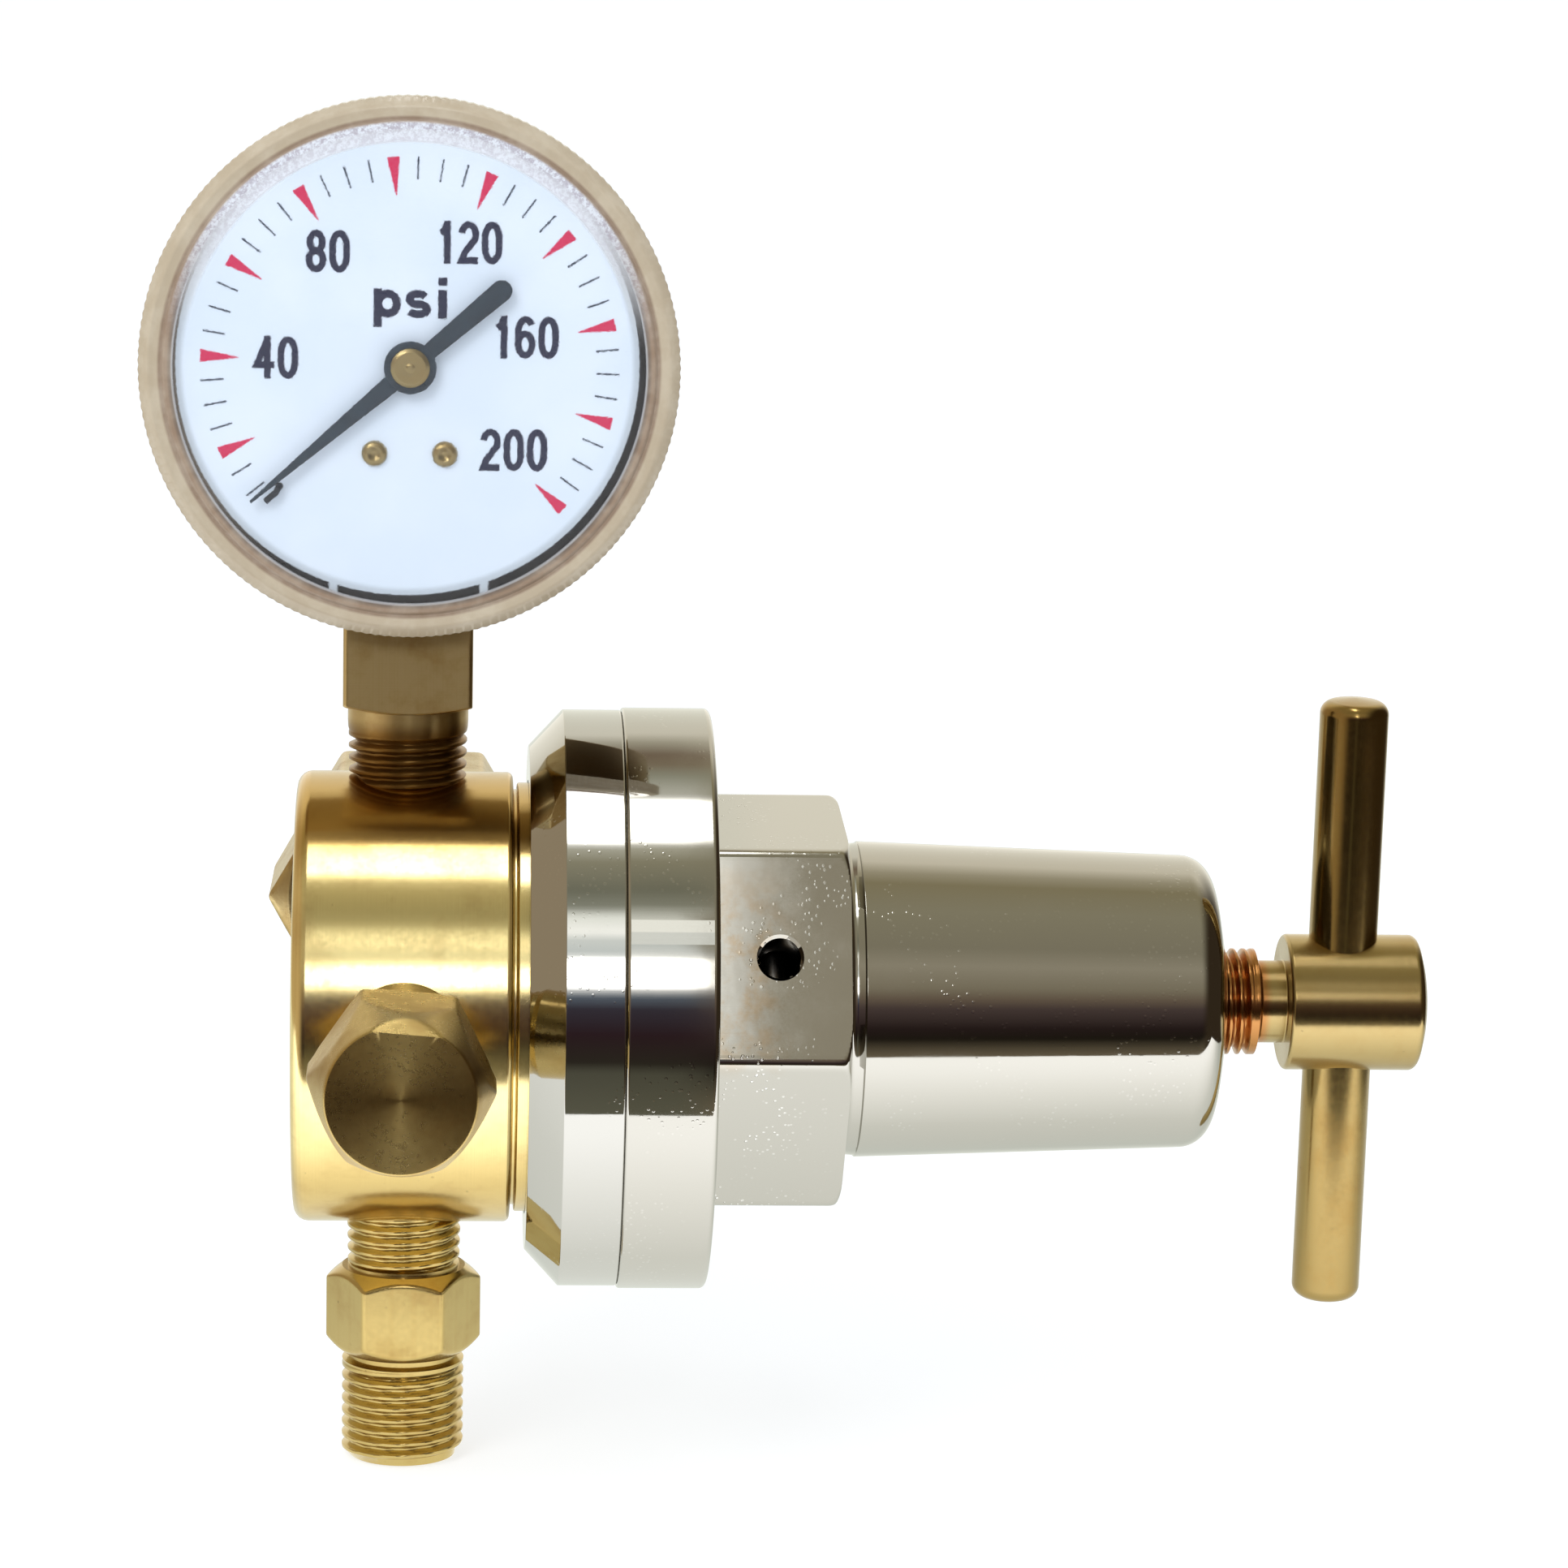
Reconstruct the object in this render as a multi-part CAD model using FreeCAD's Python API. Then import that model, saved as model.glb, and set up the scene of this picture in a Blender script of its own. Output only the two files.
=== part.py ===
"""Carbon dioxide regulator: brass body, plated bonnet with a T-handle, pressure gauge and fittings.

Millimetres, +Z up. The origin is on the outlet's axis where its thread starts. The outlet, the body and the
gauge stand on the Z axis, the bonnet and the adjusting screw run along +X, and the gauge and the front
fitting face -Y. The inlet nipple and its nut leave the body along +Y.
"""
import os

import FreeCAD
import Part
from FreeCAD import Vector
from math import cos, pi, radians, sin

X = Vector(1, 0, 0)
Y = Vector(0, 1, 0)
Z = Vector(0, 0, 1)

# Gaps between pieces
RUNNING = 0.05  # radial clearance of a sliding or turning fit
LOOSE = 0.3  # clearance of a ring that only has to pass over another piece

# Shape of a thread, in shares of its pitch
THREAD_CREST = 0.14
THREAD_FLANK = 0.36

# Body: a thick turned disc whose axis is AXIS_Z above the start of the outlet's thread
AXIS_Z = 54.0
BODY_R = 26.2
BODY_X0 = -12.7
BODY_X1 = 12.2
BODY_EDGE = 1.0  # rounding of the rear rim
BODY_BEVEL = 0.7  # bevel of the front rim
GROOVE_R = 24.2
GROOVE_W = 0.5
COLLAR_R = 25.0
FLANGE_R = 28.6  # flange behind which the clamp ring hooks
FLANGE_X0 = 18.4
SEAT_X = 24.4  # face the diaphragm is clamped against
CHAMBER_R = 20.0  # low pressure chamber under the diaphragm
CHAMBER_X = 20.4
PORT_R = 6.9
PORT_DEPTH = 12.0
PASSAGE_R = 2.0
PASSAGE_OFFSET = 15.0  # distance of the two low pressure passages from the body axis
HIGH_BORE_R = 6.5  # high pressure chamber behind the nozzle
HIGH_BORE_X = -6.0
HIGH_PASSAGE_R = 3.0

# Clamp ring and bonnet
RING_R = 33.6
RING_FACE_R = 29.4
RING_X0 = 14.0
RING_BEVEL_X = 17.9
SEAM_X = 24.7
SEAM_EDGE = 0.35
JOINT_R = 30.9  # thread between clamp ring and bonnet
JOINT_X1 = 31.0
FLANGE_RING_R = 33.9
FLANGE_RING_X1 = 35.0
CLAMP_FACE_X = 26.2
CLAMP_FACE_R = 28.2
HEX_FLATS = 43.0
HEX_TILT = 24.0  # degrees one flat's normal points above the horizontal, towards the gauge face
HEX_X1 = 50.6
HEX_CHAMFER_R = 21.3
HEX_CHAMFER_X = 48.6
HEX_ROUND_X = 0.6  # last part of the chamfer, which is flatter
HEX_ROUND_R = 2.5
NECK_R = 18.1
NECK_CORNER = 0.4
NECK_FILLET = 1.2  # slope between the hexagon's end and the neck
HOUSING_X0 = 52.6
HOUSING_R0 = 18.5
HOUSING_X1 = 91.0
HOUSING_R1 = 17.2
DOME_STEPS = ((1.6, 0.9), (3.0, 3.2), (3.9, 6.6))  # (along, inward) from the housing's edge
DOME_X = 95.5
DOME_R = 6.9
CAVITY_R = 15.0
CAVITY_X1 = 82.0
CAVITY_EDGE = 2.0
VENT_R = 2.35
VENT_X = 42.4
VENT_BEVEL = 0.25

# Adjusting screw and T-bar
SCREW_R = 6.25
SCREW_ROOT_R = 5.45
SCREW_PITCH = 1.27
SCREW_TIP_X = 70.0
SCREW_TIP_LENGTH = 2.0
SCREW_TIP_R = 5.0
SCREW_NECK_X = 99.6
SCREW_NECK_R = 4.85
HUB_X0 = 103.1
HUB_X1 = 118.4
HUB_DOME_X = 119.4
HUB_DOME_EDGE = 0.3
HUB_R = 8.0
HUB_DOME_R0 = 6.7
HUB_DOME_R1 = 4.0
HUB_EDGE = 0.4
BAR_X = 110.0
BAR_R = 4.0
BAR_LENGTH = 73.4
BAR_DOME = 2.0
BAR_LEAN = 3.9  # degrees the bar's top stands towards the gauge face

# Spring train inside the bonnet
BALL_R = 3.2
BUTTON_X0 = 61.5
BUTTON_X1 = 66.5
BUTTON_R = 13.2
BUTTON_BOSS_R = 8.4
BUTTON_BOSS = 3.0
BUTTON_EDGE = 0.6
BUTTON_TAPER_X = 2.0
BUTTON_TAPER_R = 4.0
SPRING_WIRE_R = 1.6
SPRING_MEAN_R = 10.6
SPRING_TURNS = 6.5
PLATE_R = 14.0
PLATE_X1 = 28.2
DIAPHRAGM_T = 1.0
DIAPHRAGM_R = 28.0
SLIP_RING_R0 = 18.5

# Nozzle and poppet
NOZZLE_R = 8.0
NOZZLE_X0 = 8.0
NOZZLE_X1 = 18.6
NOZZLE_HEAD_R = 9.6
NOZZLE_HEAD_X1 = 21.6
ORIFICE_R = 1.7
GUIDE_R = 1.2
GUIDE_X0 = 14.0
LIP_R = 2.4
LIP_LENGTH = 0.8
LIP_EDGE = 0.3
NOZZLE_HEAD_EDGE = 1.0
NOZZLE_HOLE_R = 1.0  # side outlet, and the slot that leads from it to the chamber
POPPET_R = 4.6
POPPET_LENGTH = 5.0
POPPET_HEAD = 3.0
POPPET_SET_BACK = 0.2  # the seat stands this far out of the poppet's face
POPPET_STEM_R = 1.15
SEAT_R = 3.6
SEAT_T = 1.6
VALVE_WIRE_R = 0.35
VALVE_SPRING_R = 3.3
VALVE_SPRING_TURNS = 6

# Inlet: nipple, loose nut and washer, along +Y
NIPPLE_R = 6.7
NIPPLE_BORE_R = 3.0
NIPPLE_HEAD_R = 9.2
NIPPLE_HEAD_Y = 65.2
NIPPLE_HEAD_T = 3.6
NIPPLE_NOSE_R = 7.9
NIPPLE_NOSE_Y = 74.0
NIPPLE_EDGE = 0.3
GASKET_T = 2.0
GASKET_R = 7.8
FILTER_R = 4.2
FILTER_T = 3.0
NUT_FLATS = 31.75
NUT_Y0 = 60.9
NUT_Y1 = 83.0
NUT_WEB = 4.2
NUT_THREAD_R = 10.48
NUT_MINOR_R = 9.75
NUT_PITCH = 1.814
NUT_MOUTH = 1.0
NUT_THREAD_Y0 = 76.4  # the thread ends here and leaves room for the washer
NUT_CHAMFER = 1.2
NUT_CHAMFER_R = 0.6  # the end faces are smaller than the flats by this
NUT_CREST = 0.15
NUT_FLANK = 0.33

# Front fitting, along -Y
PLUG_FLATS = 18.0
PLUG_TURN = 4.6  # degrees the hexagon stands off level
PLUG_HEX_Y = 40.9
PLUG_TAPER_Y = 46.6
PLUG_FACE_Y = 54.9
PLUG_FACE_R = 8.0
PLUG_NECK_R = 7.4
PLUG_EDGE_R = 0.2
PLUG_EDGE_Y = 0.8

# Outlet fitting, along -Z
OUTLET_NECK_R = 6.55
OUTLET_HEX_FLATS = 15.875
OUTLET_END_Z = -1.0
OUTLET_HEX_Z0 = 11.7
OUTLET_HEX_Z1 = 21.8
OUTLET_HEX_END_R = 7.2
OUTLET_HEX_CHAMFER = 1.7
OUTLET_R = 7.14
OUTLET_ROOT_R = 6.3
OUTLET_PITCH = 1.41
OUTLET_THREAD_Z0 = -0.2
OUTLET_THREAD_Z1 = 10.6
OUTLET_END_R = 6.2
OUTLET_BORE_R = 3.2
OUTLET_CONE_R = 4.9

# Gauge: centre height above the body axis, depths along Y from the socket's axis
GAUGE_Z = AXIS_Z + 74.2
PIPE_PITCH = 1.411
PIPE_R0 = 6.6
PIPE_R1 = 6.85
PIPE_ROOT = 0.6
PIPE_RUNOUT = 0.6
PIPE_SHOWN = 2  # turns of pipe thread that stand out of the body
STEM_R = 6.95
STEM_Z0 = 31.9
STEM_Z1 = 34.1
SOCKET_Z0 = 35.1
SOCKET_WIDTH = 14.8
SOCKET_DEPTH = 14.0
SOCKET_EDGE = 0.6
STEM_GAP = 0.5
STEM_FLARE = 0.9
CASE_NECK_Y = 5.0  # the socket narrows to this half depth where it passes through the case
CASE_NECK_DROP = 1.0
CASE_NECK_RISE = 4.0
BLOCK_WIDTH = 12.0
BLOCK_Y0 = -9.5
BLOCK_Y1 = 7.5
BLOCK_TOP = -8.2  # from the gauge centre
CASE_R = 29.0
CASE_WALL = 0.8
CASE_BACK_Y = 13.0
CASE_EDGE = 2.5
CASE_FRONT_Y = -10.9
CASE_LIP = 0.8
CASE_LIP_R = 26.8
LENS_R = 30.3
LENS_FRONT_Y = -14.0
LENS_T = 1.4
LENS_BACK_Y = -8.6
LENS_EDGE = 0.5
DIAL_R = 27.6
DIAL_Y = -10.0
DIAL_T = 0.5
DIAL_HOLE_R = 2.0
DIAL_SCREW_X = 3.95
DIAL_SCREW_Z = -9.8
DIAL_SCREW_R = 0.9
DIAL_SCREW_HEAD_R = 1.45
DIAL_SCREW_HEAD = 0.7
DIAL_SCREW_LENGTH = 5.0
STOP_ANGLE = 223.0
STOP_RADIUS = 20.0
STOP_R = 0.45
STOP_Y = -11.9

# Gauge movement, angles in degrees anticlockwise from +X seen from the front
POINTER_ANGLE = 220.8
POINTER_TIP = 23.5
POINTER_TIP_W = 0.35
POINTER_ROOT_W = 2.1
POINTER_TAIL = 14.6
POINTER_TAIL_W0 = 1.7
POINTER_TAIL_W1 = 2.4
POINTER_HUB_R = 2.95
POINTER_Y0 = -11.5
POINTER_T = 0.45
CAP_R = 2.2
CAP_T = 0.75
CAP_STEPS = ((1.0, 0.45), (0.75, 0.8), (0.3, 1.0))  # (share of the height, share of the radius)
PINION_R = 1.2
PINION_TEETH = 10
# Corners of a tooth: (share of the step between teeth, share of the tooth's height)
TOOTH_STEPS = ((-0.30, -1.0), (-0.14, 0.9), (0.14, 0.9), (0.30, -1.0))
PINION_SHAFT_R = 0.6
PINION_Y0 = -3.4
PINION_Y1 = -1.0
SECTOR_RATIO = 10.0
SECTOR_R = PINION_R * SECTOR_RATIO
SECTOR_ANGLE = -35.0  # direction of the sector's pivot from the pinion
SECTOR_SPAN = 40.0
SECTOR_START = 33.0  # degrees from the line of centres back to the first tooth
SECTOR_WEB_W = 3.0
SECTOR_HUB_R = 2.4
SECTOR_TAIL = 5.0
SECTOR_TAIL_W = 0.9
SECTOR_TAIL_ROOT_W = 2.0
SECTOR_PAD_R = 1.3
SECTOR_WEB_HIGH = 17.0  # degrees by which the web's sides run past the teeth at the hub
SECTOR_WEB_LOW = 34.0
SECTOR_Y0 = -2.7
SECTOR_T = 0.9
SECTOR_PIVOT_R = 0.8
LINK_Y0 = -1.6
LINK_T = 0.5
LINK_W = 1.8
LINK_PIN_R = 0.45
TUBE_R = 19.5
TUBE_Y = 4.0
TUBE_WIDTH = 6.0
TUBE_THICK = 2.0
TUBE_WALL = 0.4
TUBE_TIP_ANGLE = -15.0
TUBE_ROOT_ANGLE = 260.0
TIP_ARC = 7.0
TIP_THICK = 3.2
FRONT_PLATE_Y = -6.2
REAR_PLATE_Y = 1.4
MOVEMENT_PLATE_T = 1.0
MOVEMENT_HALF_W = 3.0
FOOT_X0 = -6.0
FOOT_X1 = 2.5
PILLAR_R = 0.7
PILLAR_X = -4.8
PILLAR_HEIGHTS = (-6.9, -1.6)  # from the gauge centre
HAIRSPRING_R0 = 1.4
HAIRSPRING_R1 = 3.6
HAIRSPRING_TURNS = 4
HAIRSPRING_Y = -4.6
HAIRSPRING_SIZE = 0.22

CENTRE = Vector(0, 0, AXIS_Z)
DIAL_CENTRE = Vector(0, 0, GAUGE_Z)


def placed(shape, origin, direction):
    """A shape drawn along local +Z, moved to an origin and turned to a direction."""
    shape.Placement = FreeCAD.Placement(origin, FreeCAD.Rotation(Z, direction)).multiply(shape.Placement)
    return shape


def turned(profile, origin, direction):
    """Solid of revolution from (distance along, radius) corners."""
    corners = [Vector(radius, 0, along) for along, radius in profile]
    face = Part.Face(Part.makePolygon(corners + corners[:1]))
    return placed(face.revolve(Vector(0, 0, 0), Z, 360), origin, direction)


def bar(radius, start, end, origin, direction):
    """Plain round bar between two distances along a direction."""
    return placed(Part.makeCylinder(radius, end - start, Vector(0, 0, start)), origin, direction)


def hexagon(flats, start, end, origin, direction, flat_normal):
    """Hexagonal bar with one flat square to flat_normal."""
    radius = flats / (2 * cos(pi / 6))
    side = direction.cross(flat_normal)
    corners = []
    for i in range(7):
        angle = radians(30 + 60 * i)
        offset = flat_normal * (radius * cos(angle)) + side * (radius * sin(angle))
        corners.append(origin + direction * start + offset)
    return Part.Face(Part.makePolygon(corners)).extrude(direction * (end - start))


def thread(start, end, crest, root, pitch, crest_end=None):
    """Profile corners of a thread between two distances; the crest radius may taper to crest_end."""
    crest_end = crest if crest_end is None else crest_end
    count = int((end - start) / pitch)
    profile = []
    for i in range(count):
        outer = crest + (crest_end - crest) * i / count
        inner = outer - (crest - root)
        at = start + i * pitch
        profile += [
            (at, outer),
            (at + THREAD_CREST * pitch, outer),
            (at + (THREAD_CREST + THREAD_FLANK) * pitch, inner),
            (at + (2 * THREAD_CREST + THREAD_FLANK) * pitch, inner),
        ]
    profile += [(start + count * pitch, crest_end), (end, crest_end)]
    return profile


def polar(radius, angle, depth):
    """Point on the dial at a radius and an angle, at a depth along Y."""
    return DIAL_CENTRE + Vector(radius * cos(radians(angle)), depth, radius * sin(radians(angle)))


def plate(corners, depth, thickness):
    """Flat plate parallel to the dial from (x, z) corners measured from the gauge centre."""
    points = [DIAL_CENTRE + Vector(x, depth, z) for x, z in corners]
    return Part.Face(Part.makePolygon(points + points[:1])).extrude(Y * thickness)


def dial_pin(radius, point, thickness):
    """Round pin along +Y from a point."""
    return Part.makeCylinder(radius, thickness, point, Y)


def helical_spring(mean_r, wire_r, start, end, turns):
    """Compression spring along +X from start to end, measured to the wire's outside."""
    height = end - start - 2 * wire_r
    helix = Part.makeHelix(height / turns, height, mean_r)
    section = Part.Wire(Part.Circle(Vector(mean_r, 0, 0), Y, wire_r).toShape())
    coil = Part.Wire(helix.Edges).makePipeShell([section], True, True)
    return placed(coil, CENTRE + X * (start + wire_r), X)


# Body


def port(direction):
    """Threaded port into the disc's rim along a radial direction."""
    return bar(PORT_R, BODY_R - PORT_DEPTH, BODY_R + 1, CENTRE, direction)


def brass_body():
    outline = [
        (BODY_X0, 0),
        (BODY_X0, BODY_R - BODY_EDGE),
        (BODY_X0 + 0.3 * BODY_EDGE, BODY_R - 0.3 * BODY_EDGE),
        (BODY_X0 + BODY_EDGE, BODY_R),
        (BODY_X1 - BODY_BEVEL, BODY_R),
        (BODY_X1, BODY_R - BODY_BEVEL),
        (BODY_X1, GROOVE_R),
        (BODY_X1 + GROOVE_W, GROOVE_R),
        (BODY_X1 + GROOVE_W, COLLAR_R),
        (FLANGE_X0, COLLAR_R),
        (FLANGE_X0, FLANGE_R),
        (SEAT_X, FLANGE_R),
        (SEAT_X, CHAMBER_R),
        (CHAMBER_X, CHAMBER_R),
        (CHAMBER_X, NOZZLE_HEAD_R + LOOSE),
        (NOZZLE_X1, NOZZLE_HEAD_R + LOOSE),
        (NOZZLE_X1, NOZZLE_R),
        (NOZZLE_X0 - 1, NOZZLE_R),
        (NOZZLE_X0 - 1, HIGH_BORE_R),
        (HIGH_BORE_X, HIGH_BORE_R),
        (HIGH_BORE_X, 0),
    ]
    body = turned(outline, CENTRE, X)
    for direction in (Z, -Z):
        passage_start = CENTRE + direction * PASSAGE_OFFSET
        body = body.cut(port(direction)).cut(bar(PASSAGE_R, 0, CHAMBER_X + 1, passage_start, X))
    for direction in (Y, -Y):
        body = body.cut(port(direction)).cut(bar(HIGH_PASSAGE_R, 0, BODY_R, CENTRE, direction))
    return body


def clamp_ring():
    outline = [
        (RING_X0, COLLAR_R + LOOSE),
        (RING_X0, RING_FACE_R),
        (RING_BEVEL_X, RING_R),
        (SEAM_X - SEAM_EDGE, RING_R),
        (SEAM_X, RING_R - SEAM_EDGE),
        (SEAM_X, JOINT_R),
        (JOINT_X1, JOINT_R),
        (JOINT_X1, FLANGE_R + RUNNING),
        (FLANGE_X0, FLANGE_R + RUNNING),
        (FLANGE_X0, COLLAR_R + LOOSE),
    ]
    return turned(outline, CENTRE, X)


# Bonnet


def hex_normal():
    """Outward normal of the bonnet flat that carries the vent hole."""
    return Vector(0, -cos(radians(HEX_TILT)), sin(radians(HEX_TILT)))


def bonnet():
    flange = turned(
        [
            (SEAM_X, JOINT_R),
            (SEAM_X, FLANGE_RING_R - SEAM_EDGE),
            (SEAM_X + SEAM_EDGE, FLANGE_RING_R),
            (FLANGE_RING_X1 - 2 * SEAM_EDGE, FLANGE_RING_R),
            (FLANGE_RING_X1, FLANGE_RING_R - 2 * SEAM_EDGE),
            (FLANGE_RING_X1, 0),
            (CLAMP_FACE_X, 0),
            (CLAMP_FACE_X, CLAMP_FACE_R),
            (JOINT_X1 + LOOSE, CLAMP_FACE_R),
            (JOINT_X1 + LOOSE, JOINT_R),
        ],
        CENTRE,
        X,
    )
    across_corners = HEX_FLATS / (2 * cos(pi / 6))
    blank = turned(
        [
            (FLANGE_RING_X1, 0),
            (FLANGE_RING_X1, across_corners + 1),
            (HEX_CHAMFER_X, across_corners + 1),
            (HEX_CHAMFER_X, across_corners),
            (HEX_X1 - HEX_ROUND_X, HEX_CHAMFER_R + HEX_ROUND_R),
            (HEX_X1, HEX_CHAMFER_R),
            (HEX_X1, 0),
        ],
        CENTRE,
        X,
    )
    wrench_hex = hexagon(HEX_FLATS, FLANGE_RING_X1, HEX_X1, CENTRE, X, hex_normal()).common(blank)
    dome = [(HOUSING_X1 + along, HOUSING_R1 - inward) for along, inward in DOME_STEPS]
    housing = turned(
        [
            (HEX_X1, 0),
            (HEX_X1, NECK_R + NECK_FILLET),
            (HEX_X1 + NECK_FILLET, NECK_R),
            (HOUSING_X0 - NECK_CORNER, NECK_R),
            (HOUSING_X0, HOUSING_R0),
            (HOUSING_X1, HOUSING_R1),
        ]
        + dome
        + [(DOME_X, DOME_R), (DOME_X, 0)],
        CENTRE,
        X,
    )
    cavity = turned(
        [
            (CLAMP_FACE_X, 0),
            (CLAMP_FACE_X, CAVITY_R + CAVITY_EDGE),
            (CLAMP_FACE_X + CAVITY_EDGE, CAVITY_R),
            (CAVITY_X1 - CAVITY_EDGE, CAVITY_R),
            (CAVITY_X1, CAVITY_R - CAVITY_EDGE),
            (CAVITY_X1, SCREW_R + RUNNING),
            (DOME_X, SCREW_R + RUNNING),
            (DOME_X, 0),
        ],
        CENTRE,
        X,
    )
    flat_at = HEX_FLATS / 2
    vent = turned(
        [
            (CAVITY_R - 1, 0),
            (CAVITY_R - 1, VENT_R),
            (flat_at - VENT_BEVEL, VENT_R),
            (flat_at, VENT_R + VENT_BEVEL),
            (flat_at + 1, VENT_R + VENT_BEVEL),
            (flat_at + 1, 0),
        ],
        CENTRE + X * VENT_X,
        hex_normal(),
    )
    return flange.fuse([wrench_hex, housing]).removeSplitter().cut(cavity).cut(vent)


# Adjusting screw, T-bar and spring train


def bar_direction():
    return Vector(0, -sin(radians(BAR_LEAN)), cos(radians(BAR_LEAN)))


def adjusting_screw():
    profile = [(SCREW_TIP_X, 0), (SCREW_TIP_X, SCREW_TIP_R), (SCREW_TIP_X + SCREW_TIP_LENGTH, SCREW_TIP_R)]
    profile += thread(SCREW_TIP_X + SCREW_TIP_LENGTH, SCREW_NECK_X, SCREW_R, SCREW_ROOT_R, SCREW_PITCH)
    profile += [
        (SCREW_NECK_X, SCREW_NECK_R),
        (HUB_X0, SCREW_NECK_R),
        (HUB_X0, HUB_R - HUB_EDGE),
        (HUB_X0 + HUB_EDGE, HUB_R),
        (HUB_X1, HUB_R),
        (HUB_DOME_X - HUB_DOME_EDGE, HUB_DOME_R0),
        (HUB_DOME_X, HUB_DOME_R1),
        (HUB_DOME_X, 0),
    ]
    screw = turned(profile, CENTRE, X)
    socket = Part.makeSphere(BALL_R, CENTRE + X * ball_x())
    return screw.cut(cross_hole()).cut(socket)


def cross_hole():
    return bar(BAR_R, -HUB_R - 1, HUB_R + 1, CENTRE + X * BAR_X, bar_direction())


def ball_x():
    """The ball's centre, half way between the screw's tip and the button's face."""
    return (SCREW_TIP_X + BUTTON_X1) / 2


def tee_bar():
    half = BAR_LENGTH / 2
    shoulder = (half - BAR_DOME / 4, 0.55 * BAR_R)
    profile = [
        (-half, 0),
        (-shoulder[0], shoulder[1]),
        (BAR_DOME - half, BAR_R),
        (half - BAR_DOME, BAR_R),
        shoulder,
        (half, 0),
    ]
    return turned(profile, CENTRE + X * BAR_X, bar_direction())


def thrust_ball():
    return Part.makeSphere(BALL_R, CENTRE + X * ball_x())


def spring_button():
    profile = [
        (BUTTON_X0 - BUTTON_BOSS, 0),
        (BUTTON_X0 - BUTTON_BOSS, BUTTON_BOSS_R - BUTTON_EDGE),
        (BUTTON_X0 - BUTTON_BOSS + BUTTON_EDGE, BUTTON_BOSS_R),
        (BUTTON_X0, BUTTON_BOSS_R),
        (BUTTON_X0, BUTTON_R),
        (BUTTON_X1 - BUTTON_TAPER_X, BUTTON_R),
        (BUTTON_X1, BUTTON_R - BUTTON_TAPER_R),
        (BUTTON_X1, 0),
    ]
    return turned(profile, CENTRE, X).cut(thrust_ball())


def range_spring():
    return helical_spring(SPRING_MEAN_R, SPRING_WIRE_R, PLATE_X1, BUTTON_X0, SPRING_TURNS)


def diaphragm_plate():
    start = SEAT_X + DIAPHRAGM_T
    profile = [
        (start, 0),
        (start, PLATE_R),
        (PLATE_X1 - BUTTON_EDGE, PLATE_R),
        (PLATE_X1, PLATE_R - BUTTON_EDGE),
        (PLATE_X1, BUTTON_BOSS_R),
        (PLATE_X1 + BUTTON_BOSS, BUTTON_BOSS_R - BUTTON_EDGE),
        (PLATE_X1 + BUTTON_BOSS, 0),
    ]
    return turned(profile, CENTRE, X)


def slip_ring():
    start = SEAT_X + DIAPHRAGM_T
    profile = [
        (start, SLIP_RING_R0),
        (start, DIAPHRAGM_R),
        (CLAMP_FACE_X, DIAPHRAGM_R),
        (CLAMP_FACE_X, SLIP_RING_R0),
    ]
    return turned(profile, CENTRE, X)


def diaphragm():
    return bar(DIAPHRAGM_R, SEAT_X, SEAT_X + DIAPHRAGM_T, CENTRE, X)


# Valve


def valve_nozzle():
    profile = [
        (NOZZLE_X0 + LIP_LENGTH, HIGH_BORE_R),
        (NOZZLE_X0 + LIP_LENGTH, LIP_R),
        (NOZZLE_X0, ORIFICE_R + LIP_EDGE),
        (NOZZLE_X0, ORIFICE_R),
        (GUIDE_X0, ORIFICE_R),
        (GUIDE_X0, GUIDE_R),
        (NOZZLE_HEAD_X1, GUIDE_R),
        (NOZZLE_HEAD_X1, NOZZLE_HEAD_R - NOZZLE_HEAD_EDGE),
        (NOZZLE_HEAD_X1 - NOZZLE_HEAD_EDGE, NOZZLE_HEAD_R),
        (NOZZLE_X1, NOZZLE_HEAD_R),
        (NOZZLE_X1, NOZZLE_R),
        (NOZZLE_X0 + LIP_LENGTH, NOZZLE_R),
    ]
    nozzle = turned(profile, CENTRE, X)
    slot_x = GUIDE_X0 - NOZZLE_HOLE_R
    slot_z = NOZZLE_R - 3 * NOZZLE_HOLE_R
    side_hole = bar(NOZZLE_HOLE_R, 0, slot_z, CENTRE + X * slot_x, Z)
    slot = bar(NOZZLE_HOLE_R, slot_x, NOZZLE_HEAD_X1 + 1, CENTRE + Z * slot_z, X)
    return nozzle.cut(side_hole).cut(slot)


def valve_poppet():
    """Brass poppet with the stem that reaches the diaphragm; the nylon seat sits in its face."""
    face = NOZZLE_X0 - POPPET_SET_BACK
    profile = [
        (face - POPPET_LENGTH, 0),
        (face - POPPET_LENGTH, VALVE_SPRING_R - 3 * VALVE_WIRE_R),
        (face - POPPET_HEAD, VALVE_SPRING_R - 3 * VALVE_WIRE_R),
        (face - POPPET_HEAD, POPPET_R),
        (face, POPPET_R),
        (face, SEAT_R),
        (NOZZLE_X0 - SEAT_T, SEAT_R),
        (NOZZLE_X0 - SEAT_T, POPPET_STEM_R),
        (SEAT_X, POPPET_STEM_R),
        (SEAT_X, 0),
    ]
    return turned(profile, CENTRE, X)


def valve_seat():
    profile = [
        (NOZZLE_X0 - SEAT_T, POPPET_STEM_R),
        (NOZZLE_X0 - SEAT_T, SEAT_R),
        (NOZZLE_X0, SEAT_R),
        (NOZZLE_X0, POPPET_STEM_R),
    ]
    return turned(profile, CENTRE, X)


def valve_spring():
    end = NOZZLE_X0 - POPPET_SET_BACK - POPPET_HEAD
    return helical_spring(VALVE_SPRING_R, VALVE_WIRE_R, HIGH_BORE_X, end, VALVE_SPRING_TURNS)


# Inlet


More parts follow.
